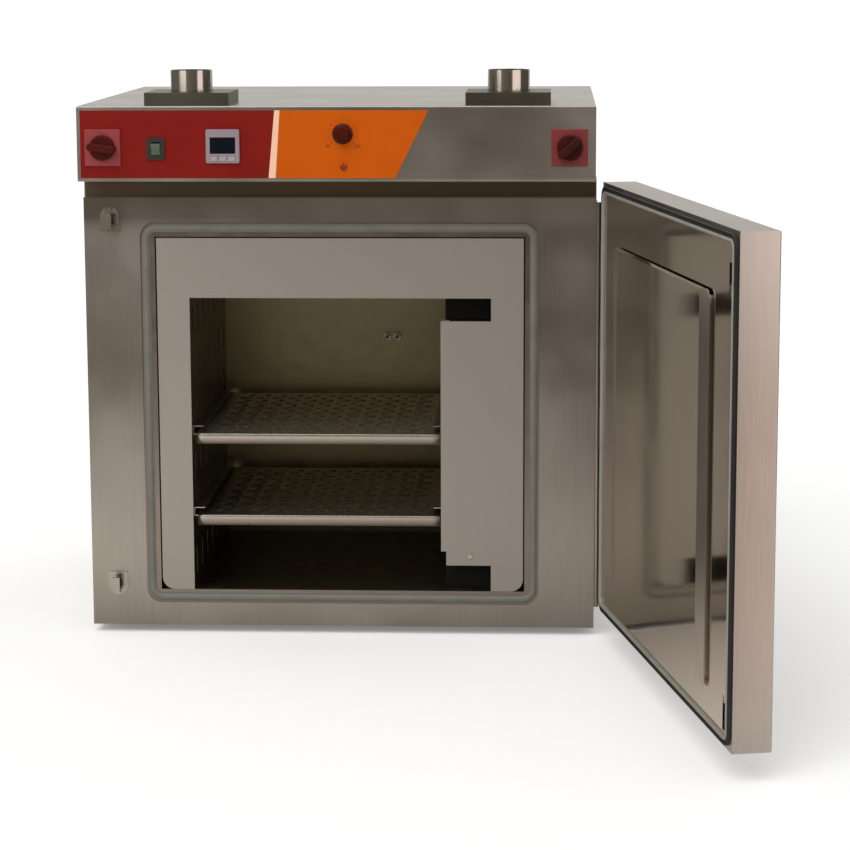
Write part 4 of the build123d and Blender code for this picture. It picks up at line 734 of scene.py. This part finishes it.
shelf_steel = plain_steel("stainless_steel_satin_punched", "a9a395", "b9b3a5", 0.010, 0.26, 0.34, 0.000004)
# Painted light: the upper shelf is painted paler than the lower one. The front folds are tinted grey.
tint(shelf_steel, share_along(shelf_steel, "Z", *SHELF_PAINTED_LIGHT_Z), "f6f0e2")
tint(shelf_steel, share_along(shelf_steel, "Y", *SHELF_FRONT_Y), "b8b2a8")
# Painted shade: the punched edges are painted dark so that the holes look shaded.
punched_edge = plain_steel("stainless_steel_punched_edge_painted_shade", "3e3a32", "4c483f", 0.004, 0.5, 0.6)
for rank in ("upper", "lower"):
    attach(perforated_shelf(f"{rank}_perforated_shelf", f"{rank}_shelf"), f"{rank}_shelf")


# Fan and heater. The blower wheel is pressed from galvanised sheet and rides on a ground
# shaft; its motor is painted black. The heaters are steel tubes, browned by their heat.
def galvanised_sheet():
    """Zinc-coated steel with its spangle, crystals about 12 mm across."""
    finish, tree, shader, where = new_finish("steel_galvanised", 0.38, 1.0)
    spangle = add(tree, "ShaderNodeTexVoronoi", {"Vector": where, "Scale": 85.0})
    two_tone(tree, shader, spangle.outputs["Distance"], "9fa2a4", "c3c6c8")
    sheen_between(tree, shader, spangle.outputs["Distance"], 0.32, 0.5)
    return finish


def browned_tube():
    """Stainless tube that has been red hot: straw, brown and blue-grey oxide in bands."""
    finish, tree, shader, where = new_finish("stainless_tube_heat_browned", 0.36, 1.0)
    bands = add(tree, "ShaderNodeTexNoise", {"Vector": where, "Scale": 26.0, "Detail": 3.0,
                                             "Roughness": 0.6})
    ramp = add(tree, "ShaderNodeValToRGB", {0: bands.outputs[0]},
               stops=((0.30, "4a3b30"), (0.70, "8a7b62"), (0.50, "5c5350")))
    tree.links.new(ramp.outputs[0], shader.inputs["Base Color"])
    relief(tree, shader, bands.outputs[0], 0.00004)
    return finish


give(galvanised_sheet(), "fan_wheel")
give(plain_steel("steel_ground_shaft", "b9b6b1", "cfccc7", 0.003, 0.14, 0.22), "fan_shaft")
motor_black = moulded("enamel_sprayed_black", "151515", "222221", 0.42, grain=0.0012, height=0.00005)
give(motor_black, "fan_motor")
give(browned_tube(), "heater_elements")
give(screw_steel, "temperature_probes")


# Fascia overlays. Polyester film with a fine matt grain, printed red and orange on its
# back, stuck to the header. The orange film has an unprinted pale stripe at its left edge.
STRIPE_FOOT = (-0.0851, 0.677)
STRIPE_SLANT = 0.0702
STRIPE_EDGE = 0.0004


def printed_film(name, dark, light):
    """Printed film. Gives the material's parts, for a pattern to be printed over it."""
    finish, tree, shader, where = new_finish(name, 0.40)
    shader.inputs["Specular IOR Level"].default_value = 0.08
    grain = add(tree, "ShaderNodeTexNoise", {"Vector": where, "Scale": 1600.0, "Detail": 1.0})
    ink = add(tree, "ShaderNodeTexNoise", {"Vector": where, "Scale": 22.0, "Detail": 2.0})
    two_tone(tree, shader, ink.outputs[0], dark, light)
    relief(tree, shader, grain.outputs[0], 0.00002, 0.5)
    return finish, tree, shader, where


give(printed_film("polyester_film_red", "74140f", "841912")[0], "red_fascia_overlay")
orange_film, tree, shader, where = printed_film("polyester_film_orange", "bb4f00", "ca5900")
apart = add(tree, "ShaderNodeSeparateXYZ", {0: where})
lean = add(tree, "ShaderNodeMath", {0: apart.outputs["Z"], 1: -STRIPE_SLANT, 2: apart.outputs["X"]},
           operation="MULTIPLY_ADD")
stripe_at = STRIPE_FOOT[0] - STRIPE_SLANT * STRIPE_FOOT[1]
stripe = add(tree, "ShaderNodeMapRange", {"Value": lean.outputs[0], "From Min": stripe_at + STRIPE_EDGE,
                                          "From Max": stripe_at - STRIPE_EDGE})
tint(orange_film, stripe.outputs[0], "f0c0a4")
give(orange_film, "orange_fascia_overlay")


# Isolators. Two rotary isolators moulded in nylon: a dusty red plate on the left and a deep
# red one on the right, each with a knob of the darkest maroon.
give(moulded("nylon_dusty_red", "8c3336", "9a3f41", 0.46, shine=0.25), "left_isolator_switch")
give(moulded("nylon_dark_maroon", "400a05", "500e07", 0.42, shine=0.14), "left_isolator_knob")
give(moulded("nylon_deep_red", "701a1c", "822224", 0.44), "right_isolator_switch")
give(moulded("nylon_near_black", "340b08", "43100c", 0.42, shine=0.14), "right_isolator_knob")


# Rocker switch. A moulded black nylon frame snapped into the header, with a translucent
# green rocker between its cheeks.
black_nylon = moulded("nylon_black", "1d1f1a", "2b2d26", 0.42)
give(black_nylon, "rocker_bezel")


def clear_rocker():
    """Translucent green polycarbonate: light goes a little way in before it comes back."""
    finish, tree, shader, where = new_finish("polycarbonate_pale_green", 0.22)
    shader.inputs["Subsurface Weight"].default_value = 0.35
    shader.inputs["Subsurface Radius"].default_value = (0.8, 1.0, 0.8)
    shader.inputs["Subsurface Scale"].default_value = 0.002
    shader.inputs["Coat Weight"].default_value = 0.4
    cloud = add(tree, "ShaderNodeTexNoise", {"Vector": where, "Scale": 160.0, "Detail": 2.0})
    two_tone(tree, shader, cloud.outputs[0], "3f513a", "566b50")
    return finish


give(clear_rocker(), "rocker_switch")


# Controller. A moulded grey case with a dark window over its display, and three rubber
# keys in a row below it.
give(moulded("abs_pale_grey", "8a7a80", "98888e", 0.42, shine=0.25), "controller_case")
give(moulded("silicone_keys_pale", "958a8d", "a3989b", 0.6), "controller_key_1", "controller_key_2",
     "controller_key_3")


def display_window():
    """A smoked acrylic window, nearly black, with a dark blue-grey liquid crystal panel
    that shows faintly through it."""
    finish, tree, shader, where = new_finish("acrylic_smoked", 0.08)
    shader.inputs["Specular IOR Level"].default_value = 0.12
    cloud = add(tree, "ShaderNodeTexNoise", {"Vector": where, "Scale": 90.0, "Detail": 1.0})
    two_tone(tree, shader, cloud.outputs[0], "0a0d14", "13171f")
    return finish


give(display_window(), "controller_display")


# Over-temperature limiter. A thermostat behind the header with a dark maroon dial knob, a
# printed scale round it, and a small red lamp below. The numbers are plain temperatures.
SCALE_R = 0.0195
TICK_L = 0.0028
TICK_W = 0.0007
PRINT_T = 0.00012
SCALE_FROM = math.radians(-130)
SCALE_TO = math.radians(130)
SCALE_TICKS = 11
SCALE_NUMBERS = {0: "50", 10: "300"}
NUMBER_SIZE = 0.0062
NUMBER_R = 0.0275


def printed(name, dark, light):
    """Screen printing ink, satin and slightly uneven."""
    finish, tree, shader, where = new_finish(name, 0.5)
    cloud = add(tree, "ShaderNodeTexNoise", {"Vector": where, "Scale": 900.0, "Detail": 2.0})
    two_tone(tree, shader, cloud.outputs[0], dark, light)
    return finish


give(moulded("thermoplastic_black", "191919", "262625", 0.5), "overtemp_thermostat")
give(moulded("phenolic_dark_maroon", "3c0c03", "4c1205", 0.30, shine=0.14), "overtemp_knob")
dark_ink = printed("ink_dark_brown", "4a1f08", "5c2a0e")
low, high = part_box("overtemp_knob")
dial = Vector(((low.x + high.x) / 2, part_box("orange_fascia_overlay")[0].y, (low.z + high.z) / 2))
bm = bmesh.new()
for index in range(SCALE_TICKS):
    angle = SCALE_FROM + (SCALE_TO - SCALE_FROM) * index / (SCALE_TICKS - 1)
    made = bmesh.ops.create_cube(bm, size=1.0)["verts"]
    bmesh.ops.scale(bm, verts=made, vec=(TICK_W, PRINT_T, TICK_L))
    bmesh.ops.translate(bm, verts=made, vec=(0, -PRINT_T / 2, SCALE_R + TICK_L / 2))
    bmesh.ops.rotate(bm, verts=made, cent=(0, 0, 0), matrix=Matrix.Rotation(angle, 3, "Y"))
bmesh.ops.translate(bm, verts=bm.verts, vec=dial)
for index, figures in SCALE_NUMBERS.items():
    angle = SCALE_FROM + (SCALE_TO - SCALE_FROM) * index / (SCALE_TICKS - 1)
    lettering = bpy.data.curves.new(f"scale_number_{figures}", "FONT")
    lettering.body = figures
    lettering.size = NUMBER_SIZE
    lettering.extrude = PRINT_T / 2
    lettering.align_x = "CENTER"
    lettering.align_y = "CENTER"
    written = place(lettering.name, lettering)
    bpy.context.view_layer.update()
    mesh = bpy.data.meshes.new_from_object(written.evaluated_get(bpy.context.evaluated_depsgraph_get()))
    bpy.data.objects.remove(written)
    spot = dial + Vector((math.sin(angle) * NUMBER_R, -PRINT_T / 2, math.cos(angle) * NUMBER_R))
    mesh.transform(Matrix.Translation(spot) @ Matrix.Rotation(math.pi / 2, 4, "X"))
    bm.from_mesh(mesh)
scale = finished(bm, "overtemp_scale", dark_ink)
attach(scale, "cabinet")


def lamp_lens():
    """Red polycarbonate, clear, with painted shade for the depth of its body: lighter where
    it faces the view and darker towards its rim.
    """
    finish, tree, shader, where = new_finish("polycarbonate_red", 0.15)
    shader.inputs["Coat Weight"].default_value = 0.5
    facing = add(tree, "ShaderNodeLayerWeight", {"Blend": 0.45})
    two_tone(tree, shader, facing.outputs["Facing"], "8e2a10", "4a0f08")
    return finish


give(lamp_lens(), "overtemp_lamp")


# Exhaust boxes and pipe stubs. Low folded boxes on the header, with a short stainless pipe
# flanged into each. The pipe is drawn tube, polished, and mirrors the room in stripes.
dull_sheet = brushed_steel("stainless_steel_box_dull", "5e5b50", "6c695e", "X", smooth=0.34, rough=0.46)
give(dull_sheet, "vent_boxes")
drawn_tube = brushed_steel("stainless_tube_polished", "aca79f", "beb9b1", "Z", smooth=0.12, rough=0.18)
give(drawn_tube, "vent_spigots")


# Cable gland. A black nylon gland with its lock nut, where the mains lead goes in at the
# back.
give(black_nylon, "cable_gland")


# Door pan and hinge. The outer pan is folded and brushed upright like the side panels. The
# hinge is a continuous one, rolled from stainless strip round a ground pin.
give(upright_steel, "door_outer_pan")
rolled_strip = brushed_steel("stainless_strip_rolled", "98938b", "aaa59d", "Z", smooth=0.24, rough=0.34)
give(rolled_strip, "hinge_cabinet_leaf", "hinge_door_leaf")
give(screw_steel, "hinge_pin")


# Door liner. The inner skin is bright annealed stainless, nearly a mirror, a little wavy
# from pressing, and clouded by wiping.
def bright_sheet():
    """Bright annealed stainless, with a slow waviness and the cloud of a wiped surface."""
    finish, tree, shader, where = new_finish("stainless_steel_bright_annealed", 0.08, 1.0)
    wipe = add(tree, "ShaderNodeTexNoise", {"Vector": where, "Scale": 7.0, "Detail": 4.0,
                                            "Roughness": 0.6})
    two_tone(tree, shader, wipe.outputs[0], "e0d8cf", "ebe4db")
    sheen_between(tree, shader, wipe.outputs[0], 0.06, 0.14)
    wave = add(tree, "ShaderNodeTexNoise", {"Vector": where, "Scale": 9.0, "Detail": 1.0})
    relief(tree, shader, wave.outputs[0], 0.0005, 0.3)
    return finish


bright_steel = bright_sheet()
give(bright_steel, "door_liner")


# Door wool. One mineral wool batt fills the door beside the lock. It is made as it lies in
# the closed door and turned with it to where the door stands open.
PIVOT = Vector((0.3736, -0.288, 0.0))
DOOR_SWING = math.radians(101.5)
DOOR_WOOL = {"x": (-275.0, 346.5), "y": (-341.0, -293.5), "z": (63.0, 645.0)}
swing_open = (Matrix.Translation(PIVOT) @ Matrix.Rotation(DOOR_SWING, 4, "Z")
              @ Matrix.Translation(-PIVOT))
bm = bmesh.new()
batt(bm, **DOOR_WOOL)
bmesh.ops.transform(bm, matrix=swing_open, verts=bm.verts)
door_wool = finished(bm, "door_wool_batt", wool, crease=80.0)
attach(door_wool, "door")
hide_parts("door_insulation")


# Raised panel of the door. A shallow pressed tray of the same bright sheet, on a narrower
# foot that leaves a dark gap below its hem. Its flanks slope gently, are rougher and are
# painted darker, as painted shade. Sizes are in millimetres, door closed: each step is the
# height above the skin, and how far the sides and the ends then stand in from the tray's edge.
TRAY_LOW = (-247.0, 90.0)
TRAY_HIGH = (272.0, 586.0)
TRAY_SEAT = -291.45
TRAY_STEPS = ((0.0, 8.0, 8.0), (3.0, 8.0, 8.0), (3.0, 0.0, 0.0), (4.2, 0.0, 0.0), (7.2, 34.0, 2.0))
TRAY_CORNER = 12.0
TRAY_CORNER_STEPS = 6
TRAY_FLANK_LEAN = 0.02

# Painted shade: the flanks' steel is darker than the tray's face.
flank_shade_steel = brushed_steel("stainless_steel_flank_painted_shade", "c6beb7", "d2cac3", "Z", smooth=0.30, rough=0.38)
wide, tall = TRAY_HIGH[0] - TRAY_LOW[0], TRAY_HIGH[1] - TRAY_LOW[1]
bm = bmesh.new()
bmesh.ops.create_grid(bm, x_segments=1, y_segments=1, size=0.5)
bmesh.ops.scale(bm, verts=bm.verts, vec=(wide - 2 * TRAY_STEPS[0][1], tall - 2 * TRAY_STEPS[0][2], 1))
bmesh.ops.bevel(bm, geom=bm.verts[:], offset=TRAY_CORNER, segments=TRAY_CORNER_STEPS, profile=0.5,
                affect="VERTICES", material=-1)
top = bm.faces[:]
for (height, side, end), (next_height, next_side, next_end) in zip(TRAY_STEPS, TRAY_STEPS[1:]):
    grown = bmesh.ops.extrude_face_region(bm, geom=top, use_keep_orig=True)["geom"]
    if height:
        bmesh.ops.delete(bm, geom=top, context="FACES_ONLY")
    top = [part for part in grown if isinstance(part, bmesh.types.BMFace)]
    corners = [part for part in grown if isinstance(part, bmesh.types.BMVert)]
    stretch = ((wide - 2 * next_side) / (wide - 2 * side), (tall - 2 * next_end) / (tall - 2 * end), 1)
    bmesh.ops.scale(bm, verts=corners, vec=stretch)
    bmesh.ops.translate(bm, verts=corners, vec=(0, 0, next_height - height))
bm.normal_update()
for face in bm.faces:
    face.material_index = int(abs(face.normal.x) > TRAY_FLANK_LEAN)
bmesh.ops.rotate(bm, verts=bm.verts, cent=(0, 0, 0), matrix=Matrix.Rotation(-math.pi / 2, 3, "X"))
bmesh.ops.translate(bm, verts=bm.verts, vec=(TRAY_LOW[0] + wide / 2, TRAY_SEAT, TRAY_LOW[1] + tall / 2))
bmesh.ops.scale(bm, verts=bm.verts, vec=(0.001, 0.001, 0.001))
bmesh.ops.transform(bm, matrix=swing_open, verts=bm.verts)
tray = finished(bm, "door_raised_panel", bright_steel, crease=2.0)
tray.data.materials.append(flank_shade_steel)
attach(tray, "door")


# Door seals. A black ribbed rubber strip and, inside it, a pale silicone bulb, both pressed
# to the door's rim. They are made on the closed door too. Profile sizes are in millimetres.
DOOR_FACE = {"low": Vector((-0.3635, 0, 0.040)), "high": Vector((0.3695, 0, 0.668)), "y": -0.293}
RIB_PROFILE = ((0.0, 0.0), (0.0, 3.3), (0.7, 4.4), (1.7, 4.4), (2.3, 2.9), (3.1, 2.9), (3.7, 4.4),
               (4.7, 4.4), (5.4, 3.3), (5.4, 0.0))
RIB_INSET = 0.0046
RIB_RADIUS = 0.020
BULB_PROFILE = ((0.0, 0.0), (0.0, 1.0), (0.5, 1.7), (0.5, 2.9), (1.0, 4.4), (2.0, 5.3), (3.1, 5.6),
                (4.2, 5.3), (5.2, 4.4), (5.7, 2.9), (5.7, 1.7), (6.2, 1.0), (6.2, 0.0))
BULB_INSET = 0.0104
BULB_RADIUS = 0.015
pale_silicone = moulded("silicone_extruded_pale", "7e7b72", "949187", 0.5, grain=0.0005)
for name, node, profile, inset, radius, finish, slot_name in (
        ("door_ribbed_strip", "door_gasket", RIB_PROFILE, RIB_INSET, RIB_RADIUS, black_rubber,
         "rubber_black"),
        ("door_seal_bulb", "door_seal", BULB_PROFILE, BULB_INSET, BULB_RADIUS, pale_silicone,
         "silicone_pale")):
    inward = Vector((inset, 0, inset))
    low, high = DOOR_FACE["low"] + inward, DOOR_FACE["high"] - inward
    bm = bmesh.new()
    ring_round(bm, profile, low, high, radius, DOOR_FACE["y"], 1)
    bmesh.ops.transform(bm, matrix=swing_open, verts=bm.verts)
    seal = finished(bm, name, finish)
    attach(seal, "door")
    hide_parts(node)


# Latch. Two hooked keeps of stainless plate on the frame; in the door a closed lock case
# drives two ground rods, worked by a turn grip of anodised aluminium in a pressed dish.
def anodised():
    """Aluminium, blasted and anodised dark grey: satin, with hardly any grain."""
    finish, tree, shader, where = new_finish("aluminium_anodised_dark", 0.38, 1.0)
    grain = add(tree, "ShaderNodeTexNoise", {"Vector": where, "Scale": 1400.0, "Detail": 2.0})
    two_tone(tree, shader, grain.outputs[0], "3b3b3c", "4a4a4b")
    relief(tree, shader, grain.outputs[0], 0.00001)
    return finish


keep_steel = plain_steel("stainless_plate_tumbled", "a9a49c", "c0bbb3", 0.0022, 0.22, 0.34)
give(keep_steel, "upper_latch_keep", "lower_latch_keep")
case_black = moulded("steel_case_sprayed_black", "1a1a1a", "252524", 0.45, grain=0.0012, height=0.00004)
give(case_black, "latch_case")
rod_steel = plain_steel("steel_rod_ground", "b4b0aa", "c8c4be", 0.003, 0.14, 0.22)
give(rod_steel, "upper_latch_rod", "lower_latch_rod")
give(plain_steel("stainless_pressed_dish", "a39e96", "b5b0a8", 0.006, 0.20, 0.30), "handle_dish")
give(anodised(), "turn_grip")
